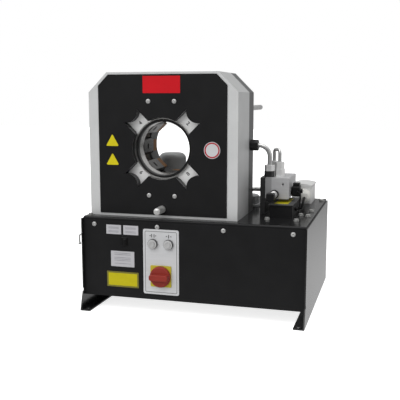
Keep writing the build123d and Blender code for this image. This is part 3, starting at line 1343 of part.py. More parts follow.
def rear_box():
    """Terminal box at the rear right corner, with a crowned lid."""
    x0 = REAR_BOX_X
    x1 = x0 + REAR_BOX_WIDTH
    y1 = REAR_BOX_Y + REAR_BOX_DEPTH
    lip = REAR_BOX_LIP
    box = block(x0, x1, REAR_BOX_Y, y1, DECK_TOP, REAR_BOX_TOP)
    box = fillet(box.edges().filter_by(Axis.Z), REAR_BOX_CORNER)
    edge = REAR_BOX_TOP + REAR_BOX_LID
    corners = Polyline((x0 - lip, edge), (x0 - lip, REAR_BOX_TOP), (x1 + lip, REAR_BOX_TOP), (x1 + lip, edge))
    crown = ThreePointArc((x1 + lip, edge), ((x0 + x1) / 2, edge + REAR_BOX_CROWN), (x0 - lip, edge))
    profile = Plane.XZ * make_face([corners, crown])
    lid = Pos(0, y1 + lip, 0) * extrude(profile, amount=REAR_BOX_DEPTH + 2 * lip)
    return box + lid


def conduit_elbow():
    """Corrugated conduit rising from the deck and bending forward beside the manifold."""
    x = RIGHT - CONDUIT_IN
    y = FRONT + CONDUIT_LEAD
    z = DECK_TOP + CONDUIT_UP
    end = (x - CONDUIT_SWAY, MANIFOLD_REAR + CONDUIT_GAP, z)
    path = FilletPolyline((x, y, DECK_TOP), (x, y, z), end, radius=CONDUIT_BEND)
    conduit = sweep(Plane(path @ 0, z_dir=path % 0) * Circle(CONDUIT_R), path=path)
    for index in range(CONDUIT_RIBS):
        share = (index + 0.5) / CONDUIT_RIBS
        seat = Plane(path @ share, z_dir=path % share)
        conduit += seat * Cylinder(CONDUIT_RIB_R, CONDUIT_RIB)
    return conduit


def side_hook():
    """Small wire hook with a ball end, on a plate on the left side."""
    y = FRONT + HOOK_LEAD + HOOK_PLATE_DEPTH / 2
    z0 = DECK_TOP - HOOK_DROP
    plate = block(
        LEFT - HOOK_PLATE, LEFT, FRONT + HOOK_LEAD, FRONT + HOOK_LEAD + HOOK_PLATE_DEPTH,
        z0, z0 + HOOK_PLATE_HEIGHT,
    )
    plate = fillet(plate.edges().filter_by(Axis.X), HOOK_CORNER)
    high = z0 + HOOK_PLATE_HEIGHT - HOOK_CORNER
    low = high - HOOK_REACH
    x0 = LEFT - HOOK_PLATE
    x1 = x0 - HOOK_OUT
    rod = tube_along([(x0, y, high), (x1, y, high), (x1, y, low)], HOOK_BEND, HOOK_ROD_R)
    return plate + rod + Pos(x1, y, low) * Sphere(HOOK_BALL_R)


PIECES = {
    "side_panel_left": side_panel(-1),
    "side_panel_right": side_panel(1),
    "front_panel": front_panel(),
    "rear_panel": rear_panel(),
    "deck_plate": deck_plate(),
    "oil_tank": oil_tank(),
    "control_plate": control_plate(),
    "button_bezels": button_bezels(),
    "open_button": push_button(BUTTON_XS[0]),
    "close_button": push_button(BUTTON_XS[1]),
    "main_switch": main_switch(),
    "switch_handle": switch_handle(),
    "contactor": contactor(),
    "head_frame": head_frame(),
    "front_cover": front_cover(),
    "button_screws": button_screws(),
    "guide_cross": guide_cross(),
    "sleeve_ring": sleeve_ring(),
    "press_ring": press_ring(),
    "piston_seals": piston_seals(),
    "cylinder_block": cylinder_block(),
    "head_bolts": head_bolts(),
    "front_pin": front_pin(),
    "depth_stop_rod": depth_stop_rod(),
    "motor_housing": motor_housing(),
    "fan_cowl": fan_cowl(),
    "motor_rotor": motor_rotor(),
    "gear_pump": gear_pump(),
    "filter_base": filter_base(),
    "return_filter": return_filter(),
    "filler_cap": filler_cap(),
    "manifold_block": manifold_block(),
    "manifold_bracket": manifold_bracket(),
    "pressure_pipe": pressure_pipe(),
    "jumper_pipe": jumper_pipe(),
    "rear_pipe": rear_pipe(),
    "pipe_fittings": pipe_fittings(),
    "relief_valve": relief_valve(),
    "relief_knob": relief_knob(),
    "solenoid_coil": solenoid_coil(),
    "junction_box": junction_box(),
    "rear_box": rear_box(),
    "conduit_elbow": conduit_elbow(),
    "side_hook": side_hook(),
}
for name, shape in PIECES.items():
    save(name, shape)
JAW = jaw()
JAW_SLIDE = jaw_slide()
for index in range(JAWS):
    save(f"jaw_{index + 1}", around_bore(JAW, index))
    save(f"jaw_slide_{index + 1}", around_bore(JAW_SLIDE, index))
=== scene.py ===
from math import atan2, cos, pi, radians, sin

import bmesh
import bpy
from mathutils import Matrix, Vector


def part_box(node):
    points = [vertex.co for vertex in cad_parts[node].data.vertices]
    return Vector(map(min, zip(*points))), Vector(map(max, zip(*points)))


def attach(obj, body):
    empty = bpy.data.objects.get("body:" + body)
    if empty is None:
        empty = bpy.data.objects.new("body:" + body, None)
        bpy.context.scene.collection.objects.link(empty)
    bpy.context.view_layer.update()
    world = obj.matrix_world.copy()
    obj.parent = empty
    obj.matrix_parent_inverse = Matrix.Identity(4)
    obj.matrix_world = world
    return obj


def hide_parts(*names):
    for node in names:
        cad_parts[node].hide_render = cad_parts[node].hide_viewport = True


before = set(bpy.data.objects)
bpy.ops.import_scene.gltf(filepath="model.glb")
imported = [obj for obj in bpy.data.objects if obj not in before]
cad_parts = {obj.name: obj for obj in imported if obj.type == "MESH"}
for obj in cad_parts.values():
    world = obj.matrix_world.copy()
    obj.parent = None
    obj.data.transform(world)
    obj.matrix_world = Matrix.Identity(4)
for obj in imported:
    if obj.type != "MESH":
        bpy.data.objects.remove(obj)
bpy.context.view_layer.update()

scene = bpy.context.scene
scene.view_settings.view_transform = "Standard"

# Camera.  It stands in front of the machine, a little to the right and above the crimping
# bore, and looks slightly down.
CAMERA_PLACE = (0.5830, -2.1905, 0.6604)
LOOK_DOWN = 8.498
LOOK_LEFT = 15.983
camera = bpy.data.objects.new("camera", bpy.data.cameras.new("camera"))
camera.location = CAMERA_PLACE
camera.rotation_euler = (radians(90 - LOOK_DOWN), 0, radians(LOOK_LEFT))
camera.data.sensor_width = 36
camera.data.lens = 61.8
scene.collection.objects.link(camera)
scene.camera = camera

# Stage.  A plain white floor under a white sky, a large soft lamp from the front left and a
# second one from overhead; what the metal mirrors is darker towards the operator.
FLOOR_REACH = 12
FLOOR_WHITE = 0.8
FLOOR_GLOW = 0.78
SKY_LIGHT = 0.42
NEAR_MIRROR, NEAR_AT = 0.77, 0.5
FAR_MIRROR, FAR_AT = 0.48, 2.2
FRONT_MIRROR = 0.22
FRONT_FROM, FRONT_TO = -1.2, -0.3
VECTOR_MATH = "ShaderNodeVectorMath"


def math_node(tree, operation, *values, kind="ShaderNodeMath"):
    """Add a math node to a tree; each value is a number, a vector or another node's socket."""
    node = tree.nodes.new(kind)
    node.operation = operation
    for socket, value in zip(node.inputs, values):
        if isinstance(value, bpy.types.NodeSocket):
            tree.links.new(value, socket)
        else:
            socket.default_value = value
    return node


def ranged(tree, value, low, high, start=0.0, end=1.0):
    """Socket that goes from start to end as a value goes from low to high."""
    node = tree.nodes.new("ShaderNodeMapRange")
    tree.links.new(value, node.inputs["Value"])
    for name, number in (("From Min", low), ("From Max", high), ("To Min", start), ("To Max", end)):
        node.inputs[name].default_value = number
    return node.outputs["Result"]


floor_mesh = bpy.data.meshes.new("floor")
floor_mesh.from_pydata([(x * FLOOR_REACH, y * FLOOR_REACH, 0)
                        for x, y in ((-1, -1), (1, -1), (1, 1), (-1, 1))], [], [(0, 1, 2, 3)])
floor = bpy.data.objects.new("floor", floor_mesh)
scene.collection.objects.link(floor)
floor_paint = bpy.data.materials.new("floor_white")
floor_paint.use_nodes = True
floor_tree = floor_paint.node_tree
floor_shader = floor_tree.nodes["Principled BSDF"]
floor_shader.inputs["Base Color"].default_value = (FLOOR_WHITE, FLOOR_WHITE, FLOOR_WHITE, 1)
floor_shader.inputs["Roughness"].default_value = 0.9
floor_shader.inputs["Specular IOR Level"].default_value = 0.1
floor_shader.inputs["Emission Color"].default_value = (1, 1, 1, 1)
floor_ray = floor_tree.nodes.new("ShaderNodeLightPath")
glow = math_node(floor_tree, "MULTIPLY", floor_ray.outputs["Is Camera Ray"], FLOOR_GLOW)
floor_spot = floor_tree.nodes.new("ShaderNodeTexCoord")
floor_axes = floor_tree.nodes.new("ShaderNodeSeparateXYZ")
away = math_node(floor_tree, "LENGTH", floor_spot.outputs["Object"], kind=VECTOR_MATH)
mirrored = math_node(
    floor_tree, "MULTIPLY",
    ranged(floor_tree, away.outputs["Value"], NEAR_AT, FAR_AT, NEAR_MIRROR, FAR_MIRROR),
    ranged(floor_tree, floor_axes.outputs["Y"], FRONT_FROM, FRONT_TO, FRONT_MIRROR, 1.0))
bright = floor_tree.nodes.new("ShaderNodeEmission")
either = floor_tree.nodes.new("ShaderNodeMixShader")
floor_end = floor_tree.nodes["Material Output"]
for source, target in ((glow.outputs[0], floor_shader.inputs["Emission Strength"]),
                       (floor_spot.outputs["Object"], floor_axes.inputs[0]),
                       (mirrored.outputs[0], bright.inputs["Strength"]),
                       (floor_ray.outputs["Is Glossy Ray"], either.inputs["Fac"]),
                       (floor_shader.outputs["BSDF"], either.inputs[1]),
                       (bright.outputs["Emission"], either.inputs[2]),
                       (either.outputs["Shader"], floor_end.inputs["Surface"])):
    floor_tree.links.new(source, target)
floor_mesh.materials.append(floor_paint)

sky = bpy.data.worlds.new("sky")
scene.world = sky
sky.use_nodes = True
sky_tree = sky.node_tree
background = sky_tree.nodes["Background"]
background.inputs["Color"].default_value = (1, 1, 1, 1)
sky_ray = sky_tree.nodes.new("ShaderNodeLightPath")
heading = sky_tree.nodes.new("ShaderNodeTexCoord")
sky_axes = sky_tree.nodes.new("ShaderNodeSeparateXYZ")
sky_tree.links.new(heading.outputs["Generated"], sky_axes.inputs[0])


def sky_math(operation, *values):
    """One sum of the sky's strength."""
    return math_node(sky_tree, operation, *values).outputs[0]


from_front = ranged(sky_tree, sky_axes.outputs["Y"], -0.9, -0.25, FRONT_MIRROR, 0.9)
from_back = ranged(sky_tree, sky_axes.outputs["Y"], 0.3, 0.9, 1.0, 0.5)
from_above = ranged(sky_tree, sky_axes.outputs["Z"], 0.3, 0.8)
mirror = sky_math("MAXIMUM", sky_math("MULTIPLY", from_front, from_back), from_above)
mirror = sky_math("MULTIPLY", mirror, sky_ray.outputs["Is Glossy Ray"])
direct = sky_math("MAXIMUM", sky_ray.outputs["Is Camera Ray"],
                  sky_ray.outputs["Is Transmission Ray"])
spread = sky_math("SUBTRACT", 1.0, sky_math("MAXIMUM", direct, sky_ray.outputs["Is Glossy Ray"]))
strength = sky_math("MULTIPLY_ADD", spread, SKY_LIGHT, sky_math("ADD", mirror, direct))
sky_tree.links.new(strength, background.inputs["Strength"])


def lamp(name, strength, spread, toward):
    """A broad lamp far away that shines along a direction."""
    light = bpy.data.lights.new(name, "SUN")
    light.energy = strength
    light.angle = radians(spread)
    holder = bpy.data.objects.new(name, light)
    holder.rotation_euler = Vector(toward).to_track_quat("-Z", "Y").to_euler()
    scene.collection.objects.link(holder)


lamp("front_lamp", 1.5, 60, (0.5, 1.0, -0.9))
lamp("top_lamp", 1.3, 80, (0.1, 0.15, -1.0))

# Cabinet.  Bent steel sheet, powder coated black and rubbed a little at its edges: two side
# panels with feet, of which the right one has a screw hole drawn as a tiny near-black square of
# painted shade, a folded front panel, a slotted rear panel and the thick deck plate.
BLACK = (0.0105, 0.0105, 0.011)
RUBBED = (0.05, 0.05, 0.05)
PATCHES = 16
EDGE_ROUND = 0.0006
HAZE = 0.2
RUB_FROM, RUB_TO = 0.985, 0.80


def noise(tree, place, scale, detail):
    """Socket with a noise pattern over a place."""
    node = tree.nodes.new("ShaderNodeTexNoise")
    tree.links.new(place, node.inputs["Vector"])
    node.inputs["Scale"].default_value = scale
    node.inputs["Detail"].default_value = detail
    return node.outputs[0]


def blended(tree, share, under, colour):
    """Socket that turns from another node's colour to a plain one as a share grows."""
    node = tree.nodes.new("ShaderNodeMix")
    node.data_type = "RGBA"
    tree.links.new(share, node.inputs["Factor"])
    tree.links.new(under, node.inputs["A"])
    node.inputs["B"].default_value = (*colour, 1)
    return node.outputs["Result"]


def finish(name, colour, rough, metal=0.0, gloss=0.5, mottle=0.10, grain=0.0012, relief=0.02,
           worn=None, stretch=(1, 1, 1)):
    """Coat or metal whose colour, gloss and height vary finely, rubbed along its edges."""
    made = bpy.data.materials.new(name)
    made.use_nodes = True
    tree = made.node_tree
    nodes, links = tree.nodes, tree.links
    shader = nodes["Principled BSDF"]
    shader.inputs["Metallic"].default_value = metal
    shader.inputs["Specular IOR Level"].default_value = gloss
    spot = nodes.new("ShaderNodeMapping")
    spot.inputs["Scale"].default_value = stretch
    links.new(nodes.new("ShaderNodeTexCoord").outputs["Object"], spot.inputs["Vector"])
    broad = noise(tree, spot.outputs["Vector"], PATCHES, 6)
    fine = noise(tree, spot.outputs["Vector"], 1 / grain, 3)
    ramp = nodes.new("ShaderNodeValToRGB")
    for stop, place, share in zip(ramp.color_ramp.elements, (0.3, 0.7), (1 - mottle, 1 + mottle)):
        stop.position = place
        stop.color = [min(1, c * share) for c in colour] + [1]
    links.new(broad, ramp.inputs["Fac"])
    haze = ranged(tree, fine, 0, 1, rough * (1 - HAZE), min(1, rough * (1 + HAZE)))
    links.new(haze, shader.inputs["Roughness"])
    rounded = nodes.new("ShaderNodeBevel")
    rounded.samples = 4
    rounded.inputs["Radius"].default_value = EDGE_ROUND
    height = nodes.new("ShaderNodeBump")
    height.inputs["Strength"].default_value = relief * 10
    height.inputs["Distance"].default_value = grain * 0.2
    links.new(fine, height.inputs["Height"])
    links.new(rounded.outputs["Normal"], height.inputs["Normal"])
    links.new(height.outputs["Normal"], shader.inputs["Normal"])
    base = ramp.outputs["Color"]
    if worn is not None:
        flat = nodes.new("ShaderNodeNewGeometry")
        agree = math_node(tree, "DOT_PRODUCT", rounded.outputs["Normal"],
                          flat.outputs["True Normal"], kind=VECTOR_MATH)
        rub = ranged(tree, agree.outputs["Value"], RUB_FROM, RUB_TO)
        patchy = math_node(tree, "MULTIPLY", rub, broad)
        base = blended(tree, patchy.outputs[0], base, worn)
    links.new(base, shader.inputs["Base Color"])
    return made


def zone(material, colour, metal=None, centre=(0, 0), **limits):
    """Recolour the part of a finish between limits of x, y, z, or r round an axis along Y."""
    tree = material.node_tree
    shader = tree.nodes["Principled BSDF"]
    place = tree.nodes.new("ShaderNodeTexCoord").outputs["Object"]
    split = tree.nodes.new("ShaderNodeSeparateXYZ")
    tree.links.new(place, split.inputs[0])
    inside = None
    for axis, (low, high) in limits.items():
        if axis == "r":
            about = math_node(tree, "MULTIPLY_ADD", place, (1, 0, 1),
                              (-centre[0], 0, -centre[1]), kind=VECTOR_MATH)
            reach = math_node(tree, "LENGTH", about.outputs[0], kind=VECTOR_MATH)
            value = reach.outputs["Value"]
        else:
            value = split.outputs[axis.upper()]
        middle, half = (low + high) / 2, (high - low) / 2
        between = math_node(tree, "COMPARE", value, middle, half).outputs[0]
        if inside is None:
            inside = between
        else:
            inside = math_node(tree, "MULTIPLY", inside, between).outputs[0]
    under = shader.inputs["Base Color"].links[0].from_socket
    tree.links.new(blended(tree, inside, under, colour), shader.inputs["Base Color"])
    if metal is not None:
        own = shader.inputs["Metallic"].default_value
        tree.links.new(ranged(tree, inside, 0, 1, own, metal), shader.inputs["Metallic"])


def dress(material, *names):
    """Give CAD nodes a finish."""
    for name in names:
        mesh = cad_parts[name].data
        mesh.materials.clear()
        mesh.materials.append(material)


HOLE_Y, HOLE_Z, HOLE_HALF = -0.205, 0.236, 0.0025
sheet_black = finish("sheet_black", BLACK, 0.45, gloss=0.12, grain=0.0009, relief=0.03,
                     worn=RUBBED)
side_black = finish("side_black", BLACK, 0.20, grain=0.0015, relief=0.01, worn=RUBBED)
deck_black = finish("deck_black", BLACK, 0.18, gloss=0.12, grain=0.0015, relief=0.01, worn=RUBBED)
# Painted shade: a tiny near-black square on the right side panel stands in for the dark inside of a
# screw hole that is not cut.
zone(side_black, (0.001, 0.001, 0.001), x=(0.345, 0.355),
     y=(HOLE_Y - HOLE_HALF, HOLE_Y + HOLE_HALF), z=(HOLE_Z - HOLE_HALF, HOLE_Z + HOLE_HALF))
dress(sheet_black, "front_panel", "rear_panel")
dress(side_black, "side_panel_left", "side_panel_right")
dress(deck_black, "deck_plate")

# Tank and contactor.  Inside the cabinet: a welded steel oil tank in primer grey, and a grey
# plastic contactor clipped on its rail.
dress(finish("tank_grey", (0.16, 0.17, 0.18), 0.5, worn=(0.3, 0.3, 0.3)), "oil_tank")
dress(finish("contactor_plastic", (0.30, 0.31, 0.32), 0.55), "contactor")

# Control plate.  Natural anodised aluminium sheet with rounded corners and a grooved
# border, held on the front panel by the two buttons and the main switch.
CORNER_STEPS = 6
plate_metal = finish("plate_metal", (0.60, 0.605, 0.615), 0.42, metal=0.25, mottle=0.03,
                     grain=0.0006, stretch=(1, 1, 12))
dress(plate_metal, "control_plate")


def piece(name, form, material, body="machine", smooth=None):
    """Turn a finished bmesh into an object that rides on a body."""
    mesh = bpy.data.meshes.new(name)
    form.to_mesh(mesh)
    form.free()
    thing = bpy.data.objects.new(name, mesh)
    scene.collection.objects.link(thing)
    mesh.materials.append(material)
    if smooth is not None:
        mesh.shade_smooth()
        mesh.set_sharp_from_angle(angle=radians(smooth))
    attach(thing, body)
    return thing


def rounded_outline(x0, x1, z0, z1, radius):
    """Corner points of a rectangle with round corners, in X and Z."""
    points = []
    corners = ((x1, z1, 0), (x0, z1, 90), (x0, z0, 180), (x1, z0, 270))
    for x, z, start in corners:
        cx = x - radius if x == x1 else x + radius
        cz = z - radius if z == z1 else z + radius
        for step in range(CORNER_STEPS + 1):
            angle = radians(start + 90 * step / CORNER_STEPS)
            points.append((cx + radius * cos(angle), cz + radius * sin(angle)))
    return points


def plate(form, outline, y_front, y_back, soft=0.0002):
    """Add an upright plate with the given X, Z outline and softened front edges."""
    rings = []
    mid_x = (min(p[0] for p in outline) + max(p[0] for p in outline)) / 2
    mid_z = (min(p[1] for p in outline) + max(p[1] for p in outline)) / 2
    half = max(max(p[0] for p in outline) - mid_x, 1e-6)
    shrink = 1 - soft / half
    for y, k in ((y_front, shrink), (y_front + soft, 1.0), (y_back, 1.0)):
        rings.append([form.verts.new((mid_x + (x - mid_x) * k, y, mid_z + (z - mid_z) * k))
                      for x, z in outline])
    count = len(outline)
    for a, b in zip(rings, rings[1:]):
        for i in range(count):
            j = (i + 1) % count
            form.faces.new((a[i], a[j], b[j], b[i]))
    form.faces.new(list(reversed(rings[0])))
    form.faces.new(rings[-1])
    bmesh.ops.recalc_face_normals(form, faces=form.faces)


def frame_band(form, outer, inner, y_front, y_back):
    """Add a thin upright band between two outlines with the same number of points."""
    count = len(outer)
    front_out, front_in, back_out, back_in = [
        [form.verts.new((x, y, z)) for x, z in line]
        for y in (y_front, y_back) for line in (outer, inner)]
    for i in range(count):
        j = (i + 1) % count
        form.faces.new((front_out[i], front_out[j], front_in[j], front_in[i]))
        form.faces.new((back_out[j], back_out[i], back_in[i], back_in[j]))
        form.faces.new((front_out[j], front_out[i], back_out[i], back_out[j]))
        form.faces.new((front_in[i], front_in[j], back_in[j], back_in[i]))
    bmesh.ops.recalc_face_normals(form, faces=form.faces)


GROOVE_IN = 0.0058
GROOVE_WIDE = 0.0016
GROOVE_ROUND_OUT = 0.0045
GROOVE_ROUND_IN = 0.0035
SKIN = 0.0002
plate_low, plate_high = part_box("control_plate")
plate_face = plate_low.y
groove_edges = []
for inset, rounding in ((GROOVE_IN, GROOVE_ROUND_OUT), (GROOVE_IN + GROOVE_WIDE, GROOVE_ROUND_IN)):
    groove_edges.append(rounded_outline(plate_low.x + inset, plate_high.x - inset,
                                        plate_low.z + inset, plate_high.z - inset, rounding))
# Painted shade: the groove is not cut; a thin flat dark band on the plate's face stands in for the
# shade in it.
border = bmesh.new()
frame_band(border, *groove_edges, plate_face - SKIN, plate_face + SKIN)
groove_shade_grey = finish("groove_shade_grey", (0.13, 0.13, 0.135), 0.5)
piece("control_plate_groove_shade", border, groove_shade_grey)

# Buttons.  Two push buttons of 22 mm size: grey plastic caps in black plastic bezels, with
# a printed pictogram over each for opening and closing the jaws.
BEZEL_RIM = 0.0006
button_grey = finish("button_cap_grey", (0.36, 0.36, 0.36), 0.45, gloss=0.2, grain=0.0008)
bezel_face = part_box("button_bezels")[0].y
bezel_black = finish("bezel_black", (0.012, 0.012, 0.013), 0.35)
zone(bezel_black, (0.44, 0.44, 0.44), y=(bezel_face - 0.001, bezel_face + BEZEL_RIM))
dress(bezel_black, "button_bezels")


def turned(form, profile, centre, segments=64):
    """Add a body of revolution round Y from (radius, distance along the axis) points."""
    rings = []
    for radius, along in profile:
        ring = []
        spots = 1 if radius < 1e-7 else segments
        for index in range(spots):
            angle = 2 * pi * index / segments
            u, v = radius * cos(angle), radius * sin(angle)
            ring.append(form.verts.new(Vector(centre) + Vector((u, along, v))))
        rings.append(ring)
    for a, b in zip(rings, rings[1:]):
        for index in range(segments):
            nxt = (index + 1) % segments
            if len(a) == 1 and len(b) > 1:
                form.faces.new((a[0], b[nxt], b[index]))
            elif len(b) == 1 and len(a) > 1:
                form.faces.new((a[index], a[nxt], b[0]))
            elif len(a) > 1:
                form.faces.new((a[index], a[nxt], b[nxt], b[index]))
    bmesh.ops.recalc_face_normals(form, faces=form.faces)


DISH_DEEP = 0.0006
DISH_SHARE = 0.72
CAP_ROUND = 0.0016
for side in ("open", "close"):
    low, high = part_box(f"{side}_button")
    radius = (high.x - low.x) / 2
    centre = ((low.x + high.x) / 2, 0, (low.z + high.z) / 2)
    cap = bmesh.new()
    turned(cap, [(0, low.y + DISH_DEEP), (radius * DISH_SHARE, low.y + DISH_DEEP)]
           + [(radius - CAP_ROUND + CAP_ROUND * sin(radians(a)),
               low.y + CAP_ROUND - CAP_ROUND * cos(radians(a))) for a in (0, 20, 40, 60, 90)]
           + [(radius, high.y), (0, high.y)], centre)
    made = piece(f"{side}_button_cap", cap, button_grey, f"{side}_button", 35)
    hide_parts(f"{side}_button")


def box_outline(x, z, half_wide, half_high):
    """Corner points of a plain rectangle round a middle, in X and Z."""
    return [(x + way * half_wide, z + up * half_high)
            for way, up in ((-1, -1), (1, -1), (1, 1), (-1, 1))]


MARK_Z = 0.0245
BAR_HALF_WIDE = 0.0012
BAR_HALF_HIGH = 0.00525
ARROW_HALF = 0.0022
PRINT_EDGE = 0.00005
MARKS = (("open", (-0.0040, 0.0036), 0.0118, 0.0076), ("close", (0.0,), 0.0044, 0.0084))
ink = finish("plate_ink", (0.03, 0.03, 0.032), 0.55)
mark = bmesh.new()
for side, bars, tip, tail in MARKS:
    low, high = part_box(f"{side}_button")
    x = (low.x + high.x) / 2
    z = (low.z + high.z) / 2 + MARK_Z
    for bar in bars:
        plate(mark, box_outline(x + bar, z, BAR_HALF_WIDE, BAR_HALF_HIGH),
              plate_face - SKIN, plate_face + SKIN, PRINT_EDGE)
    for way in (-1, 1):
        plate(mark, [(x + way * tip, z), (x + way * tail, z + ARROW_HALF),
                     (x + way * tail, z - ARROW_HALF)],
              plate_face - SKIN, plate_face + SKIN, PRINT_EDGE)
piece("button_pictograms", mark, ink)

# Main switch.  A yellow plastic plate with a red rotary handle: a knurled disc with a
# raised grip, on the shaft of the load switch behind the panel.
switch_yellow = finish("switch_yellow", (0.46, 0.38, 0.03), 0.5, gloss=0.2, grain=0.0008)
handle_red = finish("handle_red", (0.23, 0.026, 0.018), 0.45, gloss=0.2, grain=0.0008)
dress(switch_yellow, "main_switch")
dress(handle_red, "switch_handle")

# Label plates.  Thin printed aluminium plates glued on the front panel: three white ones
# with ruled lines and a yellow one with a dark border; they carry no words.
LABEL = 0.0005
PRINT = 0.0001
RULE_HALF = 0.0006
WHITE_LABELS = ((-0.269, -0.220, 0.244, 0.273), (-0.213, -0.164, 0.244, 0.273),
                (-0.255, -0.178, 0.1425, 0.1915))
RULES = ((-0.262, -0.228, (0.266, 0.2625, 0.254, 0.2505)),
         (-0.206, -0.172, (0.266, 0.2625, 0.254, 0.2505)),
         (-0.244, -0.190, (0.185, 0.1805, 0.171, 0.1665, 0.162, 0.1525)))
YELLOW_LABEL = (-0.2695, -0.1645, 0.0775, 0.1265)
YELLOW_INSET = 0.005
label_white = finish("label_white", (0.42, 0.415, 0.435), 0.55, gloss=0.2, mottle=0.04)
label_line = finish("label_line", (0.20, 0.20, 0.22), 0.55, gloss=0.2)
label_yellow = finish("label_yellow", (0.47, 0.41, 0.007), 0.5, gloss=0.15, mottle=0.05)
label_edge = finish("label_edge", (0.16, 0.145, 0.012), 0.45)
panel_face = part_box("front_panel")[0].y
label_face = panel_face - LABEL
labels = bmesh.new()
for limits in WHITE_LABELS:
    plate(labels, rounded_outline(*limits, 0.0012), label_face, panel_face, PRINT)
piece("white_label_plates", labels, label_white)
rules = bmesh.new()
for x0, x1, heights in RULES:
    for z in heights:
        plate(rules, box_outline((x0 + x1) / 2, z, (x1 - x0) / 2, RULE_HALF),
              label_face - PRINT, label_face + PRINT, PRINT / 5)
piece("label_ruled_lines", rules, label_line)
x0, x1, z0, z1 = YELLOW_LABEL
yellow_edge = bmesh.new()
plate(yellow_edge, rounded_outline(x0, x1, z0, z1, 0.002), label_face, panel_face, PRINT)
piece("yellow_label_border", yellow_edge, label_edge)
yellow = bmesh.new()
plate(yellow, rounded_outline(x0 + YELLOW_INSET, x1 - YELLOW_INSET, z0 + YELLOW_INSET,
                              z1 - YELLOW_INSET, 0.001),
      label_face - 2 * PRINT, label_face + PRINT, PRINT)
piece("yellow_label_plate", yellow, label_yellow)

# Panel latch.  A small black plastic quarter-turn latch on the left of the front panel: a
# flat rosette with a narrower grip, a little to the right of the rosette's middle.
LATCH_X, LATCH_Z = -0.210, 0.222
ROSETTE_HALF_WIDE, ROSETTE_HALF_HIGH, ROSETTE_OUT = 0.010, 0.0135, 0.003
GRIP_LEFT, GRIP_RIGHT, GRIP_HALF_HIGH, GRIP_OUT = 0.0015, 0.0065, 0.0095, 0.006
LATCH_SOFT = 0.0006
latch_black = finish("latch_black", (0.004, 0.004, 0.004), 0.4, gloss=0.25)
latch = bmesh.new()
plate(latch, rounded_outline(LATCH_X - ROSETTE_HALF_WIDE, LATCH_X + ROSETTE_HALF_WIDE,
                             LATCH_Z - ROSETTE_HALF_HIGH, LATCH_Z + ROSETTE_HALF_HIGH, 0.002),
      panel_face - ROSETTE_OUT, panel_face, LATCH_SOFT)
plate(latch, rounded_outline(LATCH_X - GRIP_LEFT, LATCH_X + GRIP_RIGHT,
                             LATCH_Z - GRIP_HALF_HIGH, LATCH_Z + GRIP_HALF_HIGH, 0.001),
      panel_face - GRIP_OUT, panel_face - 0.002, LATCH_SOFT)
piece("panel_latch", latch, latch_black)

# Head frame.  The machined steel box around the jaws, painted light grey outside; the
# chamber behind its round mouth, with the four windows, is coloured near black as painted shade of
# the deep recess.
MOUTH_R = 0.168
MOUTH_Y = -0.2295
cross_low, cross_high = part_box("guide_cross")
BORE_X = (cross_low.x + cross_high.x) / 2
BORE_Z = (cross_low.z + cross_high.z) / 2
head_grey = finish("head_grey", (0.50, 0.505, 0.505), 0.38, gloss=0.35, mottle=0.03,
                   grain=0.0014, worn=(0.62, 0.62, 0.62))
# Painted shade: inside the mouth's radius and behind its front, the grey is turned near black for
# the shade in the deep chamber.
zone(head_grey, (0.010, 0.010, 0.011), centre=(BORE_X, BORE_Z), r=(0.0, MOUTH_R),
     y=(MOUTH_Y, 0.0))
dress(head_grey, "head_frame")

# Cylinder block.  The thick rear casting with the annular cylinder, painted darker grey and
# bolted to the head from behind.
block_grey = finish("block_grey", (0.085, 0.086, 0.088), 0.42, gloss=0.4, mottle=0.06,
                    grain=0.0014, worn=(0.35, 0.35, 0.35))
dress(block_grey, "cylinder_block")

# Front cover.  Black coated sheet on the head, with a plain red plate at its top, two
# plain yellow triangles on its left and a round blank plate on its right.
RED_PLATE = (-0.157, -0.039, 0.673, 0.724)
TRIANGLE_X, TRIANGLE_HEIGHTS = -0.258, (0.525, 0.467)
TRIANGLE_R, TRIANGLE_ROUND = 0.0195, 0.0025
DISC_MID = (0.059, 0, 0.5055)
DISC_R, RING_R_OUT, RING_R_IN = 0.025, 0.0232, 0.0192
cover_black = finish("cover_black", BLACK, 0.45, gloss=0.12, grain=0.0009, worn=RUBBED)
dress(cover_black, "front_cover")
cover_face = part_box("front_cover")[0].y
sign_face = cover_face - LABEL
red = finish("plate_red", (0.50, 0.006, 0.012), 0.45, gloss=0.12, mottle=0.04)
red_plate = bmesh.new()
plate(red_plate, rounded_outline(*RED_PLATE, 0.0012), sign_face, cover_face, PRINT)
piece("red_plate", red_plate, red)
triangle_yellow = finish("triangle_yellow", (0.56, 0.48, 0.008), 0.5, gloss=0.15, mottle=0.05)
triangles = bmesh.new()
for z in TRIANGLE_HEIGHTS:
    corners = []
    for start in (90, 210, 330):
        corner_x = TRIANGLE_X + TRIANGLE_R * cos(radians(start))
        corner_z = z + TRIANGLE_R * sin(radians(start))
        for step in (-60, -30, 0, 30, 60):
            angle = radians(start + step)
            corners.append((corner_x + TRIANGLE_ROUND * cos(angle),
                            corner_z + TRIANGLE_ROUND * sin(angle)))
    plate(triangles, corners, sign_face, cover_face, PRINT)
piece("yellow_triangles", triangles, triangle_yellow)
disc_white = finish("disc_white", (0.50, 0.50, 0.51), 0.5, gloss=0.2, mottle=0.04)
disc_red = finish("disc_red", (0.36, 0.02, 0.03), 0.5, gloss=0.15, mottle=0.04)
disc = bmesh.new()
turned(disc, [(0, sign_face), (DISC_R - 2 * PRINT, sign_face), (DISC_R, sign_face + 2 * PRINT),
              (DISC_R, cover_face), (0, cover_face)], DISC_MID)
piece("round_plate", disc, disc_white, smooth=30)
ring = bmesh.new()
turned(ring, [(RING_R_IN, sign_face - 2 * PRINT), (RING_R_OUT, sign_face - 2 * PRINT),
              (RING_R_OUT, sign_face + PRINT), (RING_R_IN, sign_face + PRINT),
              (RING_R_IN, sign_face - 2 * PRINT)], DISC_MID)
piece("round_plate_ring", ring, disc_red, smooth=30)

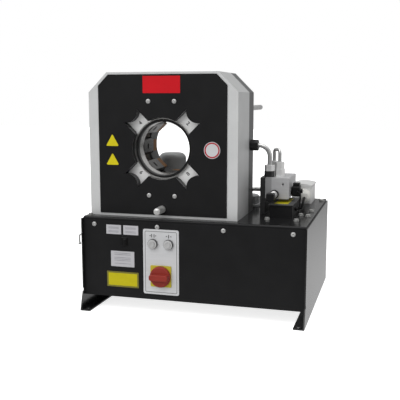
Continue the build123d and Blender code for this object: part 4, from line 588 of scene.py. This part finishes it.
# Screws of the cover and the front panel.  Button-head screws of zinc-plated steel with a
# hexagon socket, four on the cover and four in a row on the front panel.
HEAD_R = 0.0070
HEAD_HIGH = 0.0035
HEAD_SKIRT = 0.0008
SOCKET_R = 0.0023
SOCKET_DEEP = 0.0021
DOME_FROM = SOCKET_R + 0.0004
DOME_STEPS = 7
COVER_SPAN_X, COVER_SPAN_Z = 0.082, 0.285
PANEL_SCREW_X, PANEL_SCREW_Z, PANEL_PITCH = -0.309, 0.2727, 0.206
zinc = finish("zinc_plate", (0.40, 0.40, 0.395), 0.38, metal=0.35, mottle=0.08)


def socketed(tree, given, result):
    """Name the inputs of a geometry node tree and its one result."""
    for name, kind in given:
        tree.interface.new_socket(name, in_out="INPUT", socket_type="NodeSocket" + kind)
    tree.interface.new_socket(result, in_out="OUTPUT", socket_type="NodeSocketGeometry")


def repeat_tree():
    """Node tree that repeats its geometry over columns and rows, turning at each step."""
    tree = bpy.data.node_groups.new("repeat_in_rows", "GeometryNodeTree")
    socketed(tree, (("Part", "Geometry"), ("Columns", "Int"), ("Rows", "Int"),
                    ("First", "Vector"), ("Column Pitch", "Vector"), ("Row Pitch", "Vector"),
                    ("Turn", "Vector"), ("Material", "Material")), "Parts")
    add = tree.nodes.new
    join = tree.links.new
    given, done = add("NodeGroupInput"), add("NodeGroupOutput")
    across, down = add("GeometryNodeMeshLine"), add("GeometryNodeMeshLine")
    join(given.outputs["Columns"], across.inputs["Count"])
    join(given.outputs["First"], across.inputs["Start Location"])
    join(given.outputs["Column Pitch"], across.inputs["Offset"])
    join(given.outputs["Rows"], down.inputs["Count"])
    join(given.outputs["Row Pitch"], down.inputs["Offset"])
    lines, spots = add("GeometryNodeInstanceOnPoints"), add("GeometryNodeRealizeInstances")
    join(across.outputs["Mesh"], lines.inputs["Points"])
    join(down.outputs["Mesh"], lines.inputs["Instance"])
    join(lines.outputs["Instances"], spots.inputs["Geometry"])
    count, angle = add("GeometryNodeInputIndex"), add("ShaderNodeVectorMath")
    angle.operation = "SCALE"
    join(given.outputs["Turn"], angle.inputs[0])
    join(count.outputs["Index"], angle.inputs["Scale"])
    turned_to = add("FunctionNodeEulerToRotation")
    join(angle.outputs["Vector"], turned_to.inputs[0])
    parts, whole, coat = (add("GeometryNodeInstanceOnPoints"), add("GeometryNodeRealizeInstances"),
                          add("GeometryNodeSetMaterial"))
    join(spots.outputs["Geometry"], parts.inputs["Points"])
    join(given.outputs["Part"], parts.inputs["Instance"])
    join(turned_to.outputs[0], parts.inputs["Rotation"])
    join(parts.outputs["Instances"], whole.inputs["Geometry"])
    join(whole.outputs["Geometry"], coat.inputs["Geometry"])
    join(given.outputs["Material"], coat.inputs["Material"])
    join(coat.outputs["Geometry"], done.inputs["Parts"])
    return tree


IN_ROWS = repeat_tree()


def grown(tree, source, sizes):
    """Plain mesh that a node tree with the given sizes makes of an object's data."""
    maker = bpy.data.objects.new("maker", source)
    scene.collection.objects.link(maker)
    modifier = maker.modifiers.new("shape", "NODES")
    modifier.node_group = tree
    for item in tree.interface.items_tree:
        if item.in_out == "INPUT" and item.name in sizes:
            modifier[item.identifier] = sizes[item.name]
    maker.update_tag()
    bpy.context.view_layer.update()
    evaluated = maker.evaluated_get(bpy.context.evaluated_depsgraph_get())
    made = bpy.data.meshes.new_from_object(evaluated)
    maker.modifiers.remove(modifier)
    bpy.data.objects.remove(maker)
    return made


def repeated(template, into, material, columns=1, rows=1, first=(0, 0, 0), column_pitch=(0, 0, 0),
             row_pitch=(0, 0, 0), turn=(0, 0, 0)):
    """Add copies of a template to a form, in columns and rows or turning round a centre."""
    pattern = bpy.data.meshes.new("pattern")
    template.to_mesh(pattern)
    mesh = grown(IN_ROWS, pattern, {"Columns": columns, "Rows": rows, "First": first,
                                    "Column Pitch": column_pitch, "Row Pitch": row_pitch,
                                    "Turn": turn, "Material": material})
    into.from_mesh(mesh)
    bpy.data.meshes.remove(mesh)
    bpy.data.meshes.remove(pattern)


dome = []
for step in range(DOME_STEPS + 1):
    reach = DOME_FROM + (HEAD_R - DOME_FROM) * step / DOME_STEPS
    rise = max(0.0, 1 - (reach / HEAD_R) ** 2) ** 0.5
    dome.append((reach, -HEAD_SKIRT - (HEAD_HIGH - HEAD_SKIRT) * rise))
head = bmesh.new()
turned(head, [(0, SOCKET_DEEP - HEAD_HIGH), (SOCKET_R, SOCKET_DEEP - HEAD_HIGH),
              (SOCKET_R, dome[0][1] + 0.0003)] + dome + [(HEAD_R, 0.0), (0, 0.0)],
       (0, 0, 0), segments=36)
for vert in head.verts:
    reach = (vert.co.x ** 2 + vert.co.z ** 2) ** 0.5
    if 0 < reach < SOCKET_R + 0.0002:
        off_flat = (atan2(vert.co.z, vert.co.x) + pi / 6) % (pi / 3) - pi / 6
        vert.co.x *= cos(pi / 6) / cos(off_flat)
        vert.co.z *= cos(pi / 6) / cos(off_flat)
screws = bmesh.new()
repeated(head, screws, zinc, 2, 2,
         (BORE_X - COVER_SPAN_X / 2, cover_face, BORE_Z - COVER_SPAN_Z / 2),
         (COVER_SPAN_X, 0, 0), (0, 0, COVER_SPAN_Z))
repeated(head, screws, zinc, 4, 1, (PANEL_SCREW_X, panel_face, PANEL_SCREW_Z),
         (PANEL_PITCH, 0, 0))
made = piece("button_head_screws", screws, zinc, smooth=35)
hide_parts("button_screws")

# Ribs of the switch handle.  Fine grip ribs moulded in one with the red plastic handle, all
# round its rim.
RIBS = 36
RIB_R = 0.0009
RIB_FROM, RIB_TO = 0.0098, 0.0008
RIB_SUNK = 0.0003
handle_low, handle_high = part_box("switch_handle")
handle_x, handle_z = (handle_low.x + handle_high.x) / 2, (handle_low.z + handle_high.z) / 2
handle_r = (handle_high.x - handle_low.x) / 2
switch_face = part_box("main_switch")[0].y
rib = bmesh.new()
turned(rib, [(0, switch_face - RIB_FROM), (0.0005, switch_face - RIB_FROM),
             (RIB_R, switch_face - RIB_FROM + 0.0006), (RIB_R, switch_face - RIB_TO),
             (0, switch_face - RIB_TO)], (handle_r - RIB_SUNK, 0, 0), segments=8)
ribs = bmesh.new()
repeated(rib, ribs, handle_red, RIBS, 1, (handle_x, 0, handle_z), turn=(0, 2 * pi / RIBS, 0))
piece("switch_handle_ribs", ribs, handle_red, "switch_handle", 40)

# Guide cross and entry sleeve.  Ground steel: the cross carries the sleeve between the
# bosses, and the sleeve's front face is blackened while its bore is bright.
SLEEVE_R_IN, SLEEVE_R_OUT = 0.080, 0.0895
SLEEVE_FRONT, SLEEVE_BACK = -0.2135, -0.2000
arm_steel = finish("arm_steel", (0.80, 0.80, 0.795), 0.40, metal=0.15, mottle=0.05,
                   stretch=(1, 1, 8))
dress(arm_steel, "guide_cross")
bright_steel = finish("bright_steel", (0.70, 0.69, 0.67), 0.22, metal=0.9, mottle=0.06)
zone(bright_steel, (0.008, 0.008, 0.008), metal=0.0, centre=(BORE_X, BORE_Z),
     r=(SLEEVE_R_IN, SLEEVE_R_OUT), y=(SLEEVE_FRONT, SLEEVE_BACK))
dress(bright_steel, "sleeve_ring")

# Numbers on the guide cross.  A small inked digit on the steel face of each arm, counting
# the die places; every digit stands as upright as its arm lets it.
NUMBER_R = 0.1075
DIGIT_HIGH = 0.0160
DIGIT_BOLD = 0.0005
DIGIT_HALF = 0.0001
number_ink = finish("number_ink", (0.07, 0.07, 0.07), 0.5)
numbers = bmesh.new()
for digit, angle in (("2", 45), ("4", 135), ("6", 225), ("8", 315)):
    letter = bpy.data.curves.new("digit", "FONT")
    letter.body = digit
    letter.size = DIGIT_HIGH
    letter.offset = DIGIT_BOLD
    letter.align_x = "CENTER"
    letter.align_y = "CENTER"
    letter.extrude = DIGIT_HALF
    holder = bpy.data.objects.new("digit", letter)
    scene.collection.objects.link(holder)
    posed = holder.evaluated_get(bpy.context.evaluated_depsgraph_get())
    flat = bpy.data.meshes.new_from_object(posed)
    bpy.data.objects.remove(holder)
    spot = (BORE_X + NUMBER_R * cos(radians(angle)), cross_low.y - DIGIT_HALF,
            BORE_Z + NUMBER_R * sin(radians(angle)))
    lean = 90 - angle if angle < 180 else 270 - angle
    flat.transform(Matrix.Translation(spot) @ Matrix.Rotation(radians(lean), 4, "Y")
                   @ Matrix.Rotation(radians(90), 4, "X"))
    numbers.from_mesh(flat)
piece("arm_numbers", numbers, number_ink)

# Jaws.  Eight hardened tool steel jaws, oil black with ground faces, each on a bronze slide
# whose T-key runs in the press ring and whose tail shows behind the jaw.
JAW_FACE_R = 0.080
GROUND_TO_R = 0.0838
jaw_steel = finish("jaw_steel", (0.085, 0.083, 0.078), 0.26, metal=0.8, mottle=0.25)
zone(jaw_steel, (0.006, 0.006, 0.006), metal=0.0, centre=(BORE_X, BORE_Z), r=(GROUND_TO_R, 0.3))
bronze = finish("slide_bronze", (0.30, 0.118, 0.012), 0.42, metal=0.35, gloss=0.2, mottle=0.12)
for number in range(1, 9):
    dress(jaw_steel, f"jaw_{number}")
    dress(bronze, f"jaw_slide_{number}")

# Die pin holes.  Each jaw's face has a pin hole that holds the pin of a crimping die; an oblong
# near-black plate on the face, painted shade for the hole's dark inside, moves with its jaw.
PIN_HOLE_SHADE_LONG = 0.0088
PIN_HOLE_SHADE_WIDE = 0.0044
PIN_HOLE_SHADE_OUT = 0.0004
PIN_HOLE_SHADE_BACK = 0.037
ROUND_STEPS = 8
# Painted shade: each oblong plate is a near-black patch standing in for the dark inside of its
# jaw's pin hole.
pin_hole_shade_black = finish("pin_hole_shade_black", (0.001, 0.001, 0.001), 0.6, gloss=0.05)
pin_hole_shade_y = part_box("jaw_1")[0].y + PIN_HOLE_SHADE_BACK
oblong = []
for end in (1, -1):
    for step in range(ROUND_STEPS + 1):
        angle = radians(180 * step / ROUND_STEPS - 90 * end)
        oblong.append((end * (PIN_HOLE_SHADE_LONG - PIN_HOLE_SHADE_WIDE) + PIN_HOLE_SHADE_WIDE * cos(angle),
                       PIN_HOLE_SHADE_WIDE * sin(angle)))
for number in range(1, 9):
    low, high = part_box(f"jaw_{number}")
    way = Vector(((low.x + high.x) / 2 - BORE_X, 0, (low.z + high.z) / 2 - BORE_Z)).normalized()
    across = Vector((way.z, 0, -way.x))
    socket = bmesh.new()
    plate(socket, oblong, -PIN_HOLE_SHADE_OUT, 0.0002, 0.0001)
    facing = Matrix((across, way, Vector((0, 1, 0)))).transposed().to_4x4()
    middle = Vector((BORE_X, pin_hole_shade_y, BORE_Z)) + way * JAW_FACE_R
    socket.transform(Matrix.Translation(middle) @ facing)
    bmesh.ops.recalc_face_normals(socket, faces=socket.faces)
    piece(f"die_pin_hole_shade_{number}", socket, pin_hole_shade_black, f"jaw_{number}")

# Press ring and seals.  The forged steel ring that closes the jaws, ground all over, on an
# annular piston with moulded rubber seals.
dress(finish("ring_steel", (0.30, 0.295, 0.28), 0.34, metal=0.85, mottle=0.08), "press_ring")
dress(finish("seal_rubber", (0.018, 0.018, 0.018), 0.6), "piston_seals")

# Bolts.  Plain steel: the socket-head tie bolts that clamp the cylinder block on the head
# frame from behind, and the bolts that hold the deck plate.
dress(finish("bolt_steel", (0.40, 0.40, 0.39), 0.36, metal=0.7, mottle=0.1), "head_bolts")

# Front pin and depth stop rod.  Turned bright steel: the pin's shank sits in the front plate
# of the head, and the rod stands out of the rear of the cylinder block.
dress(finish("pin_steel", (0.55, 0.55, 0.54), 0.32, metal=0.5, mottle=0.06), "front_pin")
dress(finish("rod_steel", (0.48, 0.48, 0.48), 0.30, metal=0.6, mottle=0.06), "depth_stop_rod")

# Motor and pump.  A cast aluminium body painted grey, a light sheet cowl over the plastic
# fan of the rotor, and the bare cast gear pump that hangs under the deck on its tube.
dress(finish("motor_grey", (0.20, 0.21, 0.22), 0.45, mottle=0.06), "motor_housing")
dress(finish("cowl_grey", (0.58, 0.585, 0.59), 0.45, gloss=0.3, mottle=0.04), "fan_cowl")
dress(finish("rotor_plastic", (0.05, 0.05, 0.052), 0.5), "motor_rotor")
dress(finish("pump_cast", (0.42, 0.42, 0.41), 0.45, metal=0.6), "gear_pump")

# Filter and filler.  A grey enamelled spin-on canister on a cast head, and the grey ribbed
# filler cap on the deck.
dress(finish("filter_enamel", (0.44, 0.45, 0.45), 0.4, mottle=0.05), "return_filter")
dress(finish("filter_cast", (0.40, 0.40, 0.395), 0.5, metal=0.5), "filter_base")
dress(finish("filler_grey", (0.42, 0.425, 0.43), 0.45, gloss=0.3, mottle=0.05), "filler_cap")

# Valve manifold.  An anodised aluminium block on a black bracket, with the relief valve and
# its square black knob in front and the solenoid valve on its right.
DARK_REFLECTION_STRIP, DARK_REFLECTION_SKIN = 0.0195, 0.0005
FITTING_BLACK = (0.012, 0.012, 0.013)
LOCK_RING = 0.0083
HEAD_NUT = {"x": (0.13, 0.1665)}
LOWER_NUT = {"x": (0.17, 0.2155), "y": (-0.08, -0.0335), "z": (0.40, 0.431)}
manifold_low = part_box("manifold_block")[0]
manifold_metal = finish("manifold_metal", (0.52, 0.52, 0.53), 0.40, metal=0.4, mottle=0.06,
                        stretch=(1, 1, 6))
# Painted reflection: a darker band down the left of the block's front face stands for the dark
# reflection seen there.
zone(manifold_metal, (0.34, 0.34, 0.345), x=(manifold_low.x - 0.001, manifold_low.x + DARK_REFLECTION_STRIP),
     y=(manifold_low.y - 0.001, manifold_low.y + DARK_REFLECTION_SKIN))
dress(manifold_metal, "manifold_block")
bracket_black = finish("bracket_black", (0.028, 0.028, 0.029), 0.4, gloss=0.2, worn=RUBBED)
dress(bracket_black, "manifold_bracket")
fitting_zinc = finish("fitting_zinc", (0.78, 0.78, 0.775), 0.30, metal=0.5, mottle=0.08)
zone(fitting_zinc, (0.020, 0.020, 0.021), metal=0.0, **HEAD_NUT)
zone(fitting_zinc, FITTING_BLACK, metal=0.0, **LOWER_NUT)
dress(fitting_zinc, "pipe_fittings")
valve_zinc = finish("valve_zinc", (0.52, 0.52, 0.515), 0.28, metal=0.6, mottle=0.08)
zone(valve_zinc, FITTING_BLACK, metal=0.0, y=(manifold_low.y - LOCK_RING, manifold_low.y + 0.001))
dress(valve_zinc, "relief_valve")
black_plastic = finish("black_plastic", (0.006, 0.006, 0.0065), 0.45, gloss=0.2)
dress(black_plastic, "relief_knob", "solenoid_coil")

# Pipes.  Bright drawn steel tubes of the hydraulic circuit, bent cold and held by
# cutting-ring nuts.
tube_steel = finish("tube_steel", (0.58, 0.58, 0.575), 0.30, metal=0.75, mottle=0.06)
dress(tube_steel, "pressure_pipe", "jumper_pipe", "rear_pipe")

# Electrics on the deck.  The black junction box with its yellow plate, in three layers, and
# the grey plastic terminal box, whose body is coloured paler than its lid as painted light.
LID_TOP = 0.0022
LID_DIMMED_FOR_LIGHT = 0.3535, 0.40
TAG_LEFT, TAG_RIGHT, TAG_FRONT, TAG_BACK = 0.226, 0.268, -0.107, 0.008
TAG_LAYERS = (("junction_plate", 0.0, 0.0005, label_yellow),
              ("junction_plate_line", 0.0038, 0.0006, label_edge),
              ("junction_plate_face", 0.0050, 0.0007, label_yellow))
lid_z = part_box("junction_box")[1].z
junction_black = finish("junction_black", BLACK, 0.45, gloss=0.12, worn=(0.12, 0.12, 0.12))
zone(junction_black, (0.075, 0.075, 0.076), z=(lid_z - LID_TOP, lid_z + 0.001))
dress(junction_black, "junction_box")
for name, inset, lift, material in TAG_LAYERS:
    tag = bmesh.new()
    plate(tag, rounded_outline(TAG_LEFT + inset, TAG_RIGHT - inset, TAG_FRONT + inset,
                               TAG_BACK - inset, 0.0015), -lift, PRINT, PRINT)
    tag.transform(Matrix.Translation((0, 0, lid_z)) @ Matrix.Rotation(radians(-90), 4, "X"))
    piece(name, tag, material)
# Painted light: the body is coloured paler to offset the shade on its front, and the lid darker to
# offset the stronger light on top.
box_grey = finish("box_grey", (0.76, 0.76, 0.755), 0.5, gloss=0.3, mottle=0.04)
zone(box_grey, (0.64, 0.64, 0.635), z=LID_DIMMED_FOR_LIGHT)
dress(box_grey, "rear_box")

# Conduit.  A pale corrugated plastic hose that carries the leads from the terminal box to the
# junction box; its ribs follow its line, and a black lead leaves its open end.
HOSE_R = 0.0142
HOSE_RIB = 0.0018
HOSE_PITCH = 0.0080
RIB_STEPS = 8
LEAD_R = 0.0038
LEAD_STEP = 0.002


def ribbed_hose_tree():
    """Node tree that lays a round hose along a line, with ribs at an even pitch."""
    tree = bpy.data.node_groups.new("ribbed_hose", "GeometryNodeTree")
    socketed(tree, (("Line", "Geometry"), ("Radius", "Float"), ("Rib Height", "Float"),
                    ("Rib Pitch", "Float"), ("Step", "Float"), ("Material", "Material")), "Hose")
    add = tree.nodes.new
    join = tree.links.new
    given, done = add("NodeGroupInput"), add("NodeGroupOutput")
    even = add("GeometryNodeResampleCurve")
    even.mode = "LENGTH"
    join(given.outputs["Line"], even.inputs["Curve"])
    join(given.outputs["Step"], even.inputs["Length"])
    along = add("GeometryNodeSplineParameter")
    turns = math_node(tree, "DIVIDE", along.outputs["Length"], given.outputs["Rib Pitch"])
    phase = math_node(tree, "MULTIPLY", turns.outputs[0], 2 * pi)
    wave = math_node(tree, "SINE", phase.outputs[0])
    swell = math_node(tree, "MULTIPLY_ADD", wave.outputs[0], given.outputs["Rib Height"],
                      given.outputs["Radius"])
    girth = add("GeometryNodeSetCurveRadius")
    join(even.outputs["Curve"], girth.inputs["Curve"])
    join(swell.outputs[0], girth.inputs["Radius"])
    circle = add("GeometryNodeCurvePrimitiveCircle")
    circle.inputs["Resolution"].default_value = 32
    circle.inputs["Radius"].default_value = 1.0
    skin = add("GeometryNodeCurveToMesh")
    skin.inputs["Fill Caps"].default_value = True
    join(girth.outputs["Curve"], skin.inputs["Curve"])
    join(circle.outputs["Curve"], skin.inputs["Profile Curve"])
    join(add("GeometryNodeInputRadius").outputs[0], skin.inputs["Scale"])
    solid, coat = add("GeometryNodeRealizeInstances"), add("GeometryNodeSetMaterial")
    join(skin.outputs["Mesh"], solid.inputs["Geometry"])
    join(solid.outputs["Geometry"], coat.inputs["Geometry"])
    join(given.outputs["Material"], coat.inputs["Material"])
    join(coat.outputs["Geometry"], done.inputs["Hose"])
    return tree


RIBBED_HOSE = ribbed_hose_tree()


def line_through(points):
    """A smooth open line through a few points."""
    line = bpy.data.curves.new("line", "CURVE")
    line.dimensions = "3D"
    run = line.splines.new("NURBS")
    run.points.add(len(points) - 1)
    for spot, (x, y, z) in zip(run.points, points):
        spot.co = (x, y, z, 1)
    run.order_u = 3
    run.use_endpoint_u = True
    line.resolution_u = 24
    return line


def hose_form(points, material, radius, rib, pitch, step):
    """Finished form of a hose or a lead along a smooth line through a few points."""
    form = bmesh.new()
    form.from_mesh(grown(RIBBED_HOSE, line_through(points), {
        "Radius": radius, "Rib Height": rib, "Rib Pitch": pitch, "Step": step,
        "Material": material}))
    bmesh.ops.recalc_face_normals(form, faces=form.faces)
    return form


rear_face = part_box("rear_box")[0].y
conduit_pale = finish("conduit_pale", (0.64, 0.635, 0.60), 0.5, gloss=0.3, mottle=0.05)
hose = hose_form([(0.276, rear_face + 0.006, 0.332), (0.283, 0.150, 0.334),
                  (0.294, 0.120, 0.337), (0.299, 0.090, 0.336), (0.297, 0.058, 0.333)],
                 conduit_pale, HOSE_R, HOSE_RIB, HOSE_PITCH, HOSE_PITCH / RIB_STEPS)
made = piece("ribbed_conduit", hose, conduit_pale, smooth=60)
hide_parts("conduit_elbow")
lead_black = finish("lead_black", (0.005, 0.005, 0.005), 0.5, gloss=0.2)
lead = hose_form([(0.297, 0.070, 0.333), (0.297, 0.052, 0.333), (0.2975, 0.038, 0.331),
                  (0.2965, 0.026, 0.318), (0.2935, 0.022, 0.306), (0.2870, 0.020, 0.303),
                  (0.2800, 0.020, 0.303)],
                 lead_black, LEAD_R, 0.0, 0.01, LEAD_STEP)
piece("conduit_lead", lead, lead_black, smooth=60)

# Side hook.  A bent zinc-plated steel rod with a ball end, on a small plate fixed to the left
# side panel.
dress(zinc, "side_hook")
